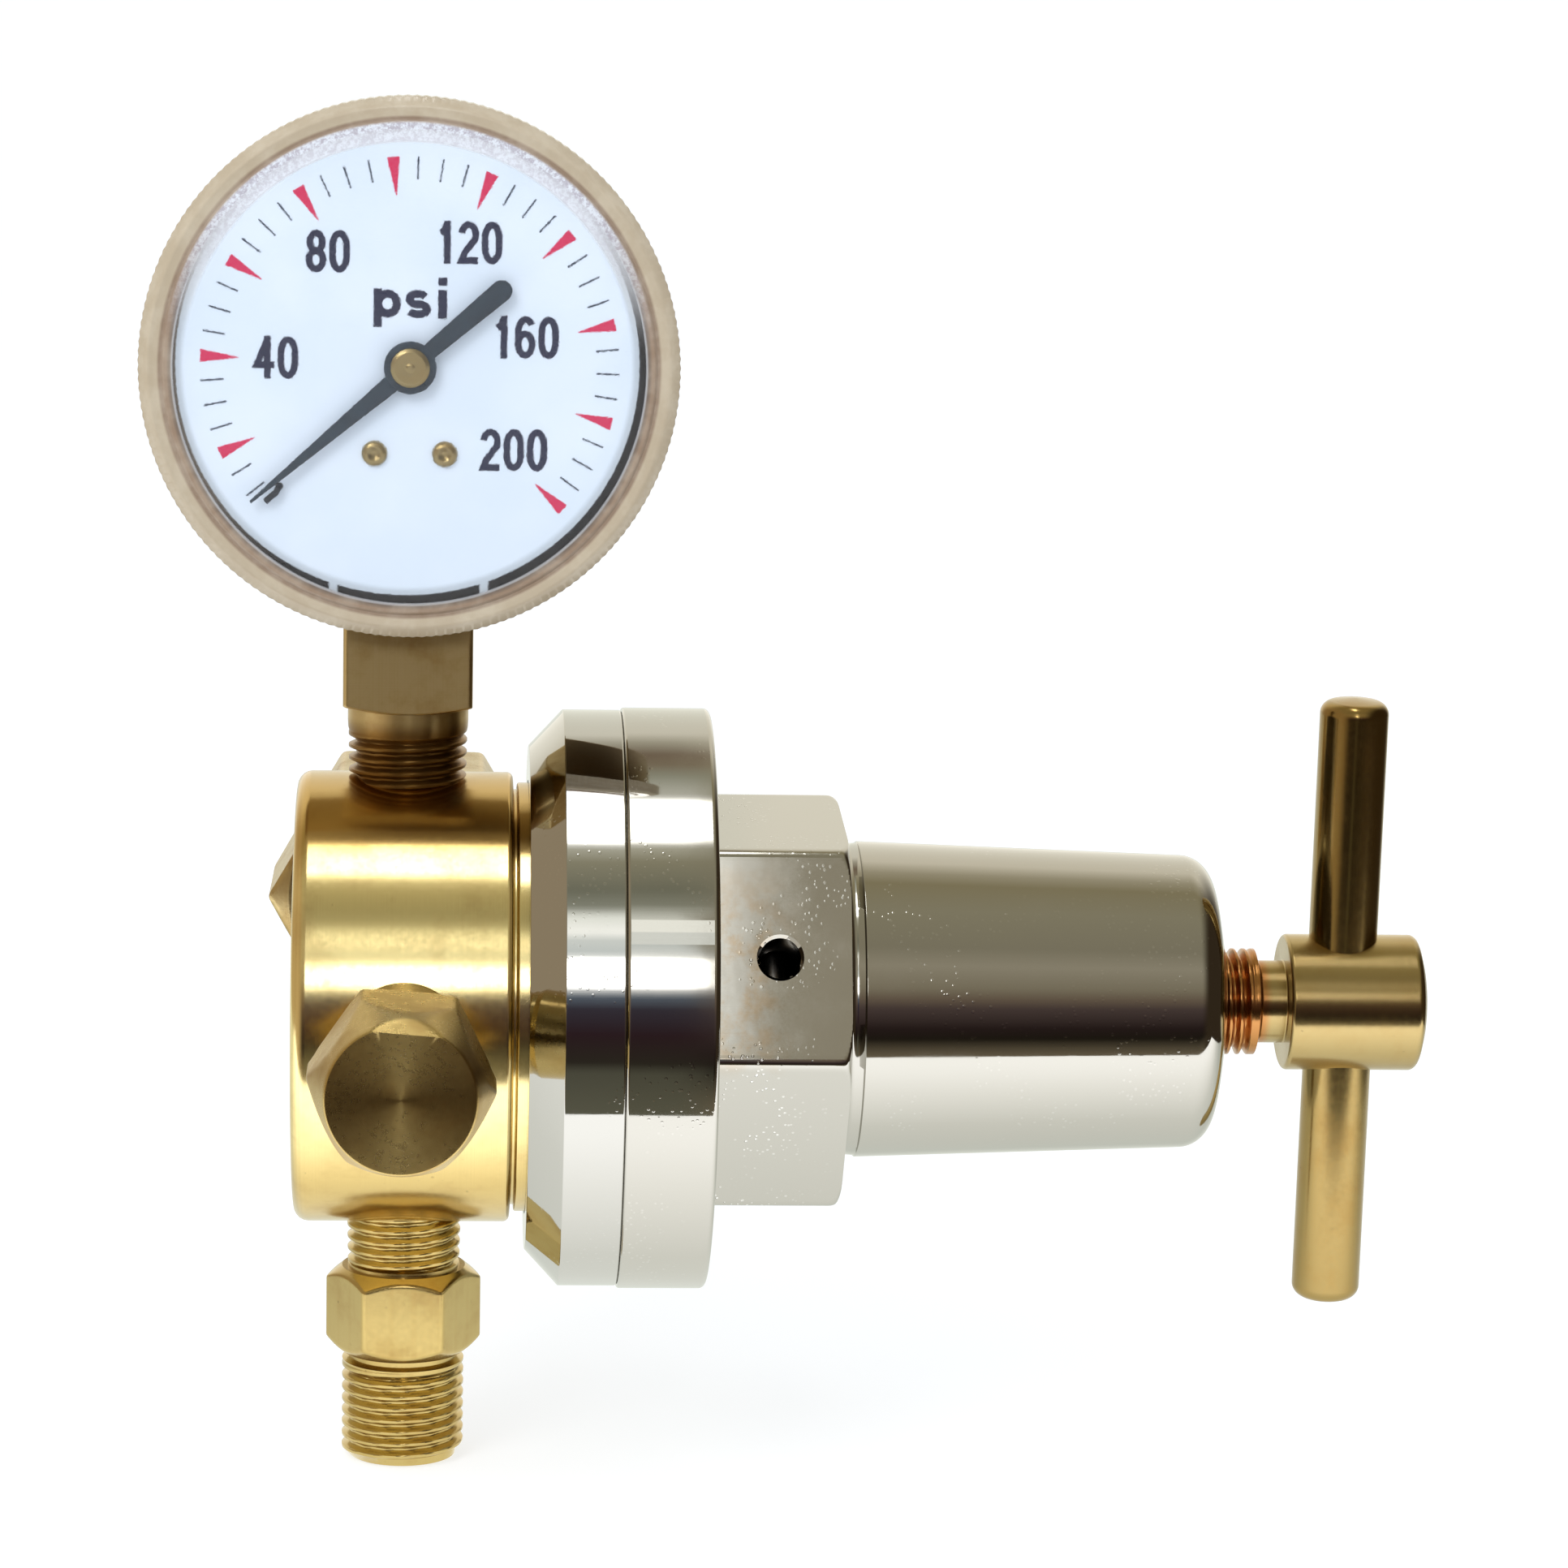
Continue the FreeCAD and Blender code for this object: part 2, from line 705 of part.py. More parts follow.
def inlet_nipple():
    start = BODY_R - PORT_DEPTH
    head_end = NIPPLE_HEAD_Y + NIPPLE_HEAD_T
    thread_end = BODY_R + PIPE_SHOWN * PIPE_PITCH
    profile = [(start, NIPPLE_BORE_R)]
    profile += thread(start, thread_end, PORT_R, PORT_R - PIPE_ROOT, PIPE_PITCH)
    profile += [
        (thread_end + PIPE_RUNOUT, NIPPLE_R),
        (NIPPLE_HEAD_Y, NIPPLE_R),
        (NIPPLE_HEAD_Y, NIPPLE_HEAD_R - NIPPLE_EDGE),
        (NIPPLE_HEAD_Y + NIPPLE_EDGE, NIPPLE_HEAD_R),
        (head_end - NIPPLE_EDGE, NIPPLE_HEAD_R),
        (head_end, NIPPLE_HEAD_R - NIPPLE_EDGE),
        (head_end, NIPPLE_NOSE_R),
        (NIPPLE_NOSE_Y, NIPPLE_NOSE_R),
        (NIPPLE_NOSE_Y, FILTER_R),
        (NIPPLE_NOSE_Y - FILTER_T, FILTER_R),
        (NIPPLE_NOSE_Y - FILTER_T, NIPPLE_BORE_R),
    ]
    return turned(profile, CENTRE, Y)


def inlet_filter():
    return bar(FILTER_R, NIPPLE_NOSE_Y - FILTER_T, NIPPLE_NOSE_Y - LOOSE, CENTRE, Y)


def inlet_gasket():
    profile = [
        (NIPPLE_NOSE_Y, FILTER_R),
        (NIPPLE_NOSE_Y, GASKET_R),
        (NIPPLE_NOSE_Y + GASKET_T, GASKET_R),
        (NIPPLE_NOSE_Y + GASKET_T, FILTER_R),
    ]
    return turned(profile, CENTRE, Y)


def inlet_nut():
    corner = NUT_FLATS / (2 * cos(pi / 6))
    chamfer_r = NUT_FLATS / 2 - NUT_CHAMFER_R
    mouth = NUT_Y1 - NUT_MOUTH
    blank = turned(
        [
            (NUT_Y0, NIPPLE_R + RUNNING),
            (NUT_Y0, chamfer_r),
            (NUT_Y0 + NUT_CHAMFER, corner),
            (NUT_Y1 - NUT_CHAMFER, corner),
            (NUT_Y1, chamfer_r),
            (NUT_Y1, NUT_THREAD_R),
            (mouth, NUT_THREAD_R),
        ]
        + inner_thread(mouth, NUT_THREAD_Y0)
        + [(NUT_Y0 + NUT_WEB, NUT_THREAD_R), (NUT_Y0 + NUT_WEB, NIPPLE_R + RUNNING)],
        CENTRE,
        Y,
    )
    return hexagon(NUT_FLATS, NUT_Y0, NUT_Y1, CENTRE, Y, Z).common(blank)


def inner_thread(mouth, end):
    """Corners of the nut's internal thread, from the mouth inwards; the roots are the major radius."""
    count = int((mouth - end) / NUT_PITCH)
    profile = []
    for i in range(count):
        middle = mouth - (i + 0.5) * NUT_PITCH
        for share, radius in (
            (NUT_CREST / 2 + NUT_FLANK, NUT_THREAD_R),
            (NUT_CREST / 2, NUT_MINOR_R),
            (-NUT_CREST / 2, NUT_MINOR_R),
            (-NUT_CREST / 2 - NUT_FLANK, NUT_THREAD_R),
        ):
            profile.append((middle + share * NUT_PITCH, radius))
    return profile


# Front fitting and outlet


def front_plug():
    corner = PLUG_FLATS / (2 * cos(pi / 6))
    start = BODY_R - PORT_DEPTH
    tilt = Vector(sin(radians(PLUG_TURN)), 0, cos(radians(PLUG_TURN)))
    blank = turned(
        [
            (PLUG_HEX_Y, 0),
            (PLUG_HEX_Y, PLUG_FLATS / 2 - PLUG_EDGE_R),
            (PLUG_HEX_Y + PLUG_EDGE_Y, corner),
            (PLUG_TAPER_Y, corner),
            (PLUG_FACE_Y, PLUG_FACE_R),
            (PLUG_FACE_Y, 0),
        ],
        CENTRE,
        -Y,
    )
    head = hexagon(PLUG_FLATS, PLUG_HEX_Y, PLUG_FACE_Y, CENTRE, -Y, tilt).common(blank)
    thread_end = BODY_R + PIPE_SHOWN * PIPE_PITCH
    shank = [(start, 0)]
    shank += thread(start, thread_end, PORT_R, PORT_R - PIPE_ROOT, PIPE_PITCH)
    shank += [(thread_end + PIPE_RUNOUT, PLUG_NECK_R), (PLUG_HEX_Y, PLUG_NECK_R), (PLUG_HEX_Y, 0)]
    return head.fuse(turned(shank, CENTRE, -Y)).removeSplitter()


def outlet_fitting():
    corner = OUTLET_HEX_FLATS / (2 * cos(pi / 6))
    blank = turned(
        [
            (OUTLET_HEX_Z0, 0),
            (OUTLET_HEX_Z0, OUTLET_HEX_END_R),
            (OUTLET_HEX_Z0 + OUTLET_HEX_CHAMFER, corner),
            (OUTLET_HEX_Z1 - OUTLET_HEX_CHAMFER, corner),
            (OUTLET_HEX_Z1, OUTLET_HEX_END_R),
            (OUTLET_HEX_Z1, 0),
        ],
        Vector(0, 0, 0),
        Z,
    )
    head = hexagon(OUTLET_HEX_FLATS, OUTLET_HEX_Z0, OUTLET_HEX_Z1, Vector(0, 0, 0), Z, -Y).common(blank)
    top = AXIS_Z - BODY_R + PORT_DEPTH
    rim = AXIS_Z - BODY_R - PIPE_PITCH
    core = [(OUTLET_END_Z, 0), (OUTLET_END_Z, OUTLET_END_R), (OUTLET_THREAD_Z0, OUTLET_R)]
    core += thread(OUTLET_THREAD_Z0, OUTLET_THREAD_Z1, OUTLET_R, OUTLET_ROOT_R, OUTLET_PITCH)
    core += [
        (OUTLET_THREAD_Z1, OUTLET_ROOT_R),
        (OUTLET_HEX_Z0, OUTLET_ROOT_R),
        (OUTLET_HEX_Z1, OUTLET_NECK_R),
        (rim, OUTLET_NECK_R),
    ]
    core += thread(rim, top, OUTLET_NECK_R, OUTLET_NECK_R - PIPE_ROOT, PIPE_PITCH, PORT_R)
    core += [(top, 0)]
    bore = turned(
        [
            (OUTLET_END_Z, 0),
            (OUTLET_END_Z, OUTLET_CONE_R),
            (OUTLET_END_Z + OUTLET_CONE_R - OUTLET_BORE_R, OUTLET_BORE_R),
            (top, OUTLET_BORE_R),
            (top, 0),
        ],
        Vector(0, 0, 0),
        Z,
    )
    return head.fuse(turned(core, Vector(0, 0, 0), Z)).removeSplitter().cut(bore)


# Gauge


def box(width, y0, y1, z0, z1):
    """Block centred on X between two depths and two heights."""
    return Part.makeBox(width, y1 - y0, z1 - z0, Vector(-width / 2, y0, z0))


def case_neck():
    """Narrow part of the socket, which fills the slot in the case."""
    floor = GAUGE_Z - CASE_R
    return box(BLOCK_WIDTH, -CASE_NECK_Y, CASE_NECK_Y, floor - CASE_NECK_DROP, floor + CASE_NECK_RISE)


def gauge_socket():
    foot = BODY_R - PORT_DEPTH
    stem = [(foot, PASSAGE_R / 2)]
    stem += thread(foot, STEM_Z0 - STEM_GAP, PIPE_R0, PIPE_R0 - PIPE_ROOT, PIPE_PITCH, PIPE_R1)
    stem += [(STEM_Z0, STEM_R), (STEM_Z1, STEM_R)]
    stem += [(SOCKET_Z0, STEM_R + STEM_FLARE), (SOCKET_Z0, PASSAGE_R / 2)]
    block_top = GAUGE_Z + BLOCK_TOP
    case_floor = GAUGE_Z - CASE_R
    square_top = case_floor - CASE_NECK_DROP
    square = box(SOCKET_WIDTH, -SOCKET_DEPTH / 2, SOCKET_DEPTH / 2, AXIS_Z + SOCKET_Z0, square_top)
    block = box(BLOCK_WIDTH, BLOCK_Y0, BLOCK_Y1, case_floor + CASE_NECK_RISE, block_top)
    edges = [e for e in square.Edges if abs(e.tangentAt(e.FirstParameter).z) > 0.9]
    parts = [square.makeChamfer(SOCKET_EDGE, edges), case_neck(), block]
    socket = turned(stem, CENTRE, Z).fuse(parts).removeSplitter()
    for side in (-1, 1):
        start = DIAL_CENTRE + Vector(side * DIAL_SCREW_X, BLOCK_Y0, DIAL_SCREW_Z)
        socket = socket.cut(dial_pin(DIAL_SCREW_R, start, DIAL_SCREW_LENGTH))
    bore_up = Part.makeCylinder(PASSAGE_R / 2, GAUGE_Z - TUBE_R - AXIS_Z - SOCKET_Z0, CENTRE + Z * SOCKET_Z0)
    return socket.cut(bore_up)


def gauge_case():
    profile = [
        (CASE_BACK_Y, 0),
        (CASE_BACK_Y, CASE_R - CASE_EDGE),
        (CASE_BACK_Y - 0.3 * CASE_EDGE, CASE_R - 0.3 * CASE_EDGE),
        (CASE_BACK_Y - CASE_EDGE, CASE_R),
        (CASE_FRONT_Y, CASE_R),
        (CASE_FRONT_Y, CASE_LIP_R),
        (CASE_FRONT_Y + CASE_LIP, CASE_LIP_R),
        (CASE_FRONT_Y + CASE_LIP, CASE_R - CASE_WALL),
        (CASE_BACK_Y - CASE_EDGE, CASE_R - CASE_WALL),
        (CASE_BACK_Y - CASE_WALL, CASE_R - CASE_EDGE),
        (CASE_BACK_Y - CASE_WALL, 0),
    ]
    return turned(profile, DIAL_CENTRE, Y).cut(case_neck())


def gauge_lens():
    profile = [
        (LENS_FRONT_Y, 0),
        (LENS_FRONT_Y, LENS_R - LENS_EDGE),
        (LENS_FRONT_Y + LENS_EDGE, LENS_R),
        (LENS_BACK_Y, LENS_R),
        (LENS_BACK_Y, CASE_R),
        (CASE_FRONT_Y, CASE_R),
        (CASE_FRONT_Y, CASE_LIP_R),
        (LENS_FRONT_Y + LENS_T, CASE_LIP_R),
        (LENS_FRONT_Y + LENS_T, 0),
    ]
    return turned(profile, DIAL_CENTRE, Y)


def gauge_dial():
    dial = Part.makeCylinder(DIAL_R, DIAL_T, DIAL_CENTRE + Y * DIAL_Y, Y)
    dial = dial.cut(dial_pin(DIAL_HOLE_R, DIAL_CENTRE + Y * DIAL_Y, DIAL_T))
    dial = dial.cut(dial_pin(STOP_R, polar(STOP_RADIUS, STOP_ANGLE, DIAL_Y), DIAL_T))
    for side in (-1, 1):
        start = DIAL_CENTRE + Vector(side * DIAL_SCREW_X, DIAL_Y, DIAL_SCREW_Z)
        dial = dial.cut(dial_pin(DIAL_SCREW_R, start, DIAL_T))
    return dial


def dial_screws():
    screws = []
    length = BLOCK_Y0 + DIAL_SCREW_LENGTH - DIAL_Y
    profile = [
        (-DIAL_SCREW_HEAD, 0),
        (-DIAL_SCREW_HEAD, 0.6 * DIAL_SCREW_HEAD_R),
        (-0.5 * DIAL_SCREW_HEAD, DIAL_SCREW_HEAD_R),
        (0, DIAL_SCREW_HEAD_R),
        (0, DIAL_SCREW_R),
        (length, DIAL_SCREW_R),
        (length, 0),
    ]
    for side in (-1, 1):
        start = DIAL_CENTRE + Vector(side * DIAL_SCREW_X, DIAL_Y, DIAL_SCREW_Z)
        screws.append(turned(profile, start, Y))
    return Part.makeCompound(screws)


def stop_pin():
    return dial_pin(STOP_R, polar(STOP_RADIUS, STOP_ANGLE, STOP_Y), DIAL_Y + DIAL_T - STOP_Y)


def gauge_pointer():
    """Needle, tail and hub, drawn along +X and turned to the resting angle."""
    needle = plate(
        [
            (0, -POINTER_ROOT_W / 2),
            (POINTER_TIP, -POINTER_TIP_W / 2),
            (POINTER_TIP, POINTER_TIP_W / 2),
            (0, POINTER_ROOT_W / 2),
        ],
        POINTER_Y0,
        POINTER_T,
    )
    tail_end = POINTER_TAIL - POINTER_TAIL_W1 / 2
    tail = plate(
        [
            (0, -POINTER_TAIL_W0 / 2),
            (-tail_end, -POINTER_TAIL_W1 / 2),
            (-tail_end, POINTER_TAIL_W1 / 2),
            (0, POINTER_TAIL_W0 / 2),
        ],
        POINTER_Y0,
        POINTER_T,
    )
    tail_round = dial_pin(POINTER_TAIL_W1 / 2, DIAL_CENTRE + Vector(-tail_end, POINTER_Y0, 0), POINTER_T)
    hub = dial_pin(POINTER_HUB_R, DIAL_CENTRE + Y * POINTER_Y0, POINTER_T)
    pointer = needle.fuse([tail, tail_round, hub]).removeSplitter()
    pointer.rotate(DIAL_CENTRE, -Y, POINTER_ANGLE)
    return pointer.cut(dial_pin(PINION_SHAFT_R, DIAL_CENTRE + Y * POINTER_Y0, POINTER_T))


def pointer_cap():
    dome = [(-height * CAP_T, share * CAP_R) for height, share in CAP_STEPS]
    profile = [(-CAP_T, 0)] + dome + [(0, CAP_R), (0, 0)]
    return turned(profile, DIAL_CENTRE + Y * POINTER_Y0, Y)


def gear_profile(radius, tooth, count, start, step):
    """Corners (x, z) of spur teeth round the origin: root, crest, crest and root for each tooth."""
    corners = []
    for i in range(count):
        middle = start + i * step
        for share, height in TOOTH_STEPS:
            angle = radians(middle + share * step)
            corners.append(((radius + height * tooth) * cos(angle), (radius + height * tooth) * sin(angle)))
    return corners


def pinion_shaft():
    step = 360 / PINION_TEETH
    tooth = 0.5 * PINION_R * pi / PINION_TEETH
    teeth = gear_profile(PINION_R, tooth, PINION_TEETH, SECTOR_ANGLE + step / 2, step)
    pinion = plate(teeth, PINION_Y0, PINION_Y1 - PINION_Y0)
    rear_end = REAR_PLATE_Y + MOVEMENT_PLATE_T
    shaft = dial_pin(PINION_SHAFT_R, DIAL_CENTRE + Y * POINTER_Y0, rear_end - POINTER_Y0)
    return pinion.fuse(shaft).removeSplitter()


def sector_pivot(depth):
    return polar(SECTOR_R + PINION_R, SECTOR_ANGLE, depth)


def sector_gear():
    """Toothed arc that faces the pinion, a web and a tail, on its own arbor."""
    step = 360 / (PINION_TEETH * SECTOR_RATIO)
    tooth = 0.5 * PINION_R * pi / PINION_TEETH
    facing = SECTOR_ANGLE - 180
    count = int(SECTOR_SPAN / step)
    start = facing - SECTOR_START + (SECTOR_START % step)  # puts a tooth on the line of centres
    outline = gear_profile(SECTOR_R, tooth, count, start, step)
    inner = SECTOR_R - SECTOR_WEB_W
    low = start - 0.5 * step
    high = low + count * step
    web = (
        (inner, high),
        (SECTOR_HUB_R, high + SECTOR_WEB_HIGH),
        (SECTOR_HUB_R, low - SECTOR_WEB_LOW),
        (inner, low),
    )
    for radius, angle in web:
        outline.append((radius * cos(radians(angle)), radius * sin(radians(angle))))
    away = radians(facing + 180)
    across = away + pi / 2
    root = (SECTOR_TAIL_ROOT_W * cos(across), SECTOR_TAIL_ROOT_W * sin(across))
    end = (SECTOR_TAIL * cos(away), SECTOR_TAIL * sin(away))
    side = (SECTOR_TAIL_W * cos(across), SECTOR_TAIL_W * sin(across))
    tail = [
        root,
        (end[0] + side[0], end[1] + side[1]),
        (end[0] - side[0], end[1] - side[1]),
        (-root[0], -root[1]),
    ]
    pivot = sector_pivot(0) - DIAL_CENTRE

    def at_pivot(corners):
        return plate([(x + pivot.x, z + pivot.z) for x, z in corners], SECTOR_Y0, SECTOR_T)

    tail_pin_hole = dial_pin(LINK_PIN_R, tail_point(SECTOR_Y0), SECTOR_T)
    pad = dial_pin(SECTOR_PAD_R, tail_point(SECTOR_Y0), SECTOR_T)
    boss = dial_pin(SECTOR_HUB_R, sector_pivot(SECTOR_Y0), SECTOR_T)
    front = FRONT_PLATE_Y
    arbor = dial_pin(SECTOR_PIVOT_R, sector_pivot(front), REAR_PLATE_Y + MOVEMENT_PLATE_T - front)
    gear = at_pivot(outline).fuse([at_pivot(tail), boss, pad, arbor]).removeSplitter()
    return gear.cut(tail_pin_hole)


def tail_point(depth):
    """Centre of the hole in the sector's tail."""
    return polar(SECTOR_R + PINION_R + SECTOR_TAIL, SECTOR_ANGLE, depth)


def drive_link():
    """Flat link from the sector's tail towards the tube's tip, with the pin it turns on."""
    start = tail_point(LINK_Y0)
    end = tip_point(LINK_Y0)
    along = end - start
    side = along.cross(Y).normalize() * (LINK_W / 2)
    corners = [start + side, end + side, end - side, start - side]
    strap = Part.Face(Part.makePolygon(corners + corners[:1])).extrude(Y * LINK_T)
    rounds = [dial_pin(LINK_W / 2, p, LINK_T) for p in (start, end)]
    pin = dial_pin(LINK_PIN_R - RUNNING, tail_point(SECTOR_Y0), LINK_Y0 - SECTOR_Y0)
    hole = dial_pin(LINK_PIN_R + RUNNING, end, LINK_T)
    return strap.fuse(rounds + [pin]).removeSplitter().cut(hole)


def tip_point(depth):
    """Where the link is pinned to the tube's tip."""
    return polar(TUBE_R, TUBE_TIP_ANGLE - TIP_ARC / 2, depth)


def ring_sector(inner, outer, y0, y1, start, end):
    """Part of a rectangular-section ring round the dial's axis between two angles."""
    corners = [
        DIAL_CENTRE + Vector(inner, y0, 0),
        DIAL_CENTRE + Vector(outer, y0, 0),
        DIAL_CENTRE + Vector(outer, y1, 0),
        DIAL_CENTRE + Vector(inner, y1, 0),
    ]
    face = Part.Face(Part.makePolygon(corners + corners[:1]))
    face.rotate(DIAL_CENTRE, -Y, start)
    return face.revolve(DIAL_CENTRE, -Y, end - start)


def bourdon_tube():
    half = TUBE_THICK / 2
    y0 = TUBE_Y - TUBE_WIDTH / 2
    y1 = TUBE_Y + TUBE_WIDTH / 2
    ends = (TUBE_TIP_ANGLE, TUBE_ROOT_ANGLE)
    outer = ring_sector(TUBE_R - half, TUBE_R + half, y0, y1, *ends)
    inside = half - TUBE_WALL
    inner = ring_sector(TUBE_R - inside, TUBE_R + inside, y0 + TUBE_WALL, y1 - TUBE_WALL, *ends)
    block = box(BLOCK_WIDTH, BLOCK_Y0, BLOCK_Y1, GAUGE_Z - CASE_R, GAUGE_Z + BLOCK_TOP)
    return outer.cut(inner).cut(block)


def tube_tip():
    """Cap soldered to the tube's free end, with an arm that reaches forward to the link."""
    half = TIP_THICK / 2
    y1 = TUBE_Y + TUBE_WIDTH / 2
    link_back = LINK_Y0 + LINK_T
    ends = (TUBE_TIP_ANGLE - TIP_ARC, TUBE_TIP_ANGLE)
    cap = ring_sector(TUBE_R - half, TUBE_R + half, link_back, y1, *ends)
    return cap.fuse(dial_pin(LINK_PIN_R, tip_point(LINK_Y0), LINK_T)).removeSplitter()


def movement_plate(depth):
    """Slot-shaped plate over both arbors, with a foot on the socket's block."""
    pivot = sector_pivot(0) - DIAL_CENTRE
    along = radians(SECTOR_ANGLE)
    side_x = MOVEMENT_HALF_W * -sin(along)
    side_z = MOVEMENT_HALF_W * cos(along)
    strap = plate(
        [
            (side_x, side_z),
            (pivot.x + side_x, pivot.z + side_z),
            (pivot.x - side_x, pivot.z - side_z),
            (-side_x, -side_z),
        ],
        depth,
        MOVEMENT_PLATE_T,
    )
    foot = plate(
        [(FOOT_X0, BLOCK_TOP), (FOOT_X1, BLOCK_TOP), (FOOT_X1, 0), (FOOT_X0, 0)],
        depth,
        MOVEMENT_PLATE_T,
    )
    arbors = (DIAL_CENTRE + Y * depth, sector_pivot(depth))
    ends = [dial_pin(MOVEMENT_HALF_W, arbor, MOVEMENT_PLATE_T) for arbor in arbors]
    body = strap.fuse(ends + [foot]).removeSplitter()
    body = body.cut(dial_pin(PINION_SHAFT_R + RUNNING, DIAL_CENTRE + Y * depth, MOVEMENT_PLATE_T))
    return body.cut(dial_pin(SECTOR_PIVOT_R + RUNNING, sector_pivot(depth), MOVEMENT_PLATE_T))


def front_movement_plate():
    return movement_plate(FRONT_PLATE_Y)


def rear_movement_plate():
    return movement_plate(REAR_PLATE_Y)


def movement_pillars():
    start = FRONT_PLATE_Y + MOVEMENT_PLATE_T
    length = REAR_PLATE_Y - start
    spots = [DIAL_CENTRE + Vector(PILLAR_X, start, height) for height in PILLAR_HEIGHTS]
    return Part.makeCompound([dial_pin(PILLAR_R, spot, length) for spot in spots])


def hairspring():
    """Flat spiral between the pinion's arbor and the front plate."""
    points = []
    steps = 12 * HAIRSPRING_TURNS
    for i in range(steps + 1):
        angle = 360 * HAIRSPRING_TURNS * i / steps
        radius = HAIRSPRING_R0 + (HAIRSPRING_R1 - HAIRSPRING_R0) * i / steps
        points.append(polar(radius, angle, HAIRSPRING_Y))
    curve = Part.BSplineCurve()
    curve.interpolate(points)
    path = Part.Wire(curve.toShape())
    half = HAIRSPRING_SIZE / 2
    start = points[0]
    corners = [
        start + Vector(-half, -half, 0),
        start + Vector(half, -half, 0),
        start + Vector(half, half, 0),
        start + Vector(-half, half, 0),
    ]
    return path.makePipeShell([Part.makePolygon(corners + corners[:1])], True, True)


NODES = {
    "brass_body": brass_body,
    "clamp_ring": clamp_ring,
    "bonnet": bonnet,
    "adjusting_screw": adjusting_screw,
    "tee_bar": tee_bar,
    "thrust_ball": thrust_ball,
    "spring_button": spring_button,
    "range_spring": range_spring,
    "diaphragm_plate": diaphragm_plate,
    "slip_ring": slip_ring,
    "diaphragm": diaphragm,
    "valve_nozzle": valve_nozzle,
    "valve_poppet": valve_poppet,
    "valve_seat": valve_seat,
    "valve_spring": valve_spring,
    "inlet_nipple": inlet_nipple,
    "inlet_filter": inlet_filter,
    "inlet_gasket": inlet_gasket,
    "inlet_nut": inlet_nut,
    "front_plug": front_plug,
    "outlet_fitting": outlet_fitting,
    "gauge_socket": gauge_socket,
    "gauge_case": gauge_case,
    "gauge_lens": gauge_lens,
    "gauge_dial": gauge_dial,
    "dial_screws": dial_screws,
    "stop_pin": stop_pin,
    "gauge_pointer": gauge_pointer,
    "pointer_cap": pointer_cap,
    "pinion_shaft": pinion_shaft,
    "sector_gear": sector_gear,
    "drive_link": drive_link,
    "bourdon_tube": bourdon_tube,
    "tube_tip": tube_tip,
    "front_movement_plate": front_movement_plate,
    "rear_movement_plate": rear_movement_plate,
    "movement_pillars": movement_pillars,
    "hairspring": hairspring,
}

os.makedirs("parts", exist_ok=True)
for name, make in NODES.items():
    shape = make()
    shape.exportStep("parts/" + name + ".step")
    print(name, shape.ShapeType, len(shape.Solids), "solids", round(shape.Volume, 2), "mm3", shape.isValid())
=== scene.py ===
"""Carbon dioxide regulator: finished surfaces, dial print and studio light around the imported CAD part.

The row frame is in metres with +Z up. The bonnet runs along +X, the gauge faces -Y and the outlet points
down. Outlines and finishes below are written in millimetres of the same frame; MM turns them into metres.
"""
from math import cos, degrees, pi, radians, sin, tan, tau

import bmesh
import bpy
from mathutils import Matrix, Vector


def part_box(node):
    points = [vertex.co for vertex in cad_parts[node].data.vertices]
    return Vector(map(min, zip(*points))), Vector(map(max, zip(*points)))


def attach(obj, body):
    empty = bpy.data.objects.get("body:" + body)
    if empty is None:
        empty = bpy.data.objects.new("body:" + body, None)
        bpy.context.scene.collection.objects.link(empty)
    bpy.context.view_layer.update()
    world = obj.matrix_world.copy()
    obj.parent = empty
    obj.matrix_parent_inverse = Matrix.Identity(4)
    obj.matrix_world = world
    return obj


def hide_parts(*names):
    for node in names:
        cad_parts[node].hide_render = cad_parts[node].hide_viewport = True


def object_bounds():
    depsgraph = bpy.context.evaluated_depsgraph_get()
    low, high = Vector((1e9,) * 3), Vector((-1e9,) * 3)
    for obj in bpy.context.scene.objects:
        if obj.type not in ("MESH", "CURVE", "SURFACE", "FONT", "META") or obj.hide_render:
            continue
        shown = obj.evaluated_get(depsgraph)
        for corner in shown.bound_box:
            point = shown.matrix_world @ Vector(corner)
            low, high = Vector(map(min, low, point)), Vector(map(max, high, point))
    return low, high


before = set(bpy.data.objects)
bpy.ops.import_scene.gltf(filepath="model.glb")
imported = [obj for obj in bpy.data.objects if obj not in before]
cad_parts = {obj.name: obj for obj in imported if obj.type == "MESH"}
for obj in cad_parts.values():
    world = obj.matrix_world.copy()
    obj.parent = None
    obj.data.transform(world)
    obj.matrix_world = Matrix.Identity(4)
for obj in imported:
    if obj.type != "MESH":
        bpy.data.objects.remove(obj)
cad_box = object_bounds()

MM = 0.001
ALONG_X = Vector((1, 0, 0))
ALONG_Y = Vector((0, 1, 0))
ALONG_Z = Vector((0, 0, 1))


# Sizes read from the frame, in millimetres


def box_mm(node):
    """Lowest and highest corner of a CAD node."""
    low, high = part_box(node)
    return low / MM, high / MM


BODY_LOW, BODY_HIGH = box_mm("brass_body")
RING_LOW, RING_HIGH = box_mm("clamp_ring")
BONNET_LOW, BONNET_HIGH = box_mm("bonnet")
SCREW_LOW, SCREW_HIGH = box_mm("adjusting_screw")
BAR_LOW, BAR_HIGH = box_mm("tee_bar")
PLUG_LOW = box_mm("front_plug")[0]
OUTLET_LOW, OUTLET_HIGH = box_mm("outlet_fitting")
NIPPLE_LOW, NIPPLE_HIGH = box_mm("inlet_nipple")
NUT_LOW, NUT_HIGH = box_mm("inlet_nut")
SOCKET_LOW, SOCKET_HIGH = box_mm("gauge_socket")
CASE_LOW, CASE_HIGH = box_mm("gauge_case")
LENS_LOW, LENS_HIGH = box_mm("gauge_lens")
DIAL_LOW = box_mm("gauge_dial")[0]
POINTER_LOW, POINTER_HIGH = box_mm("gauge_pointer")
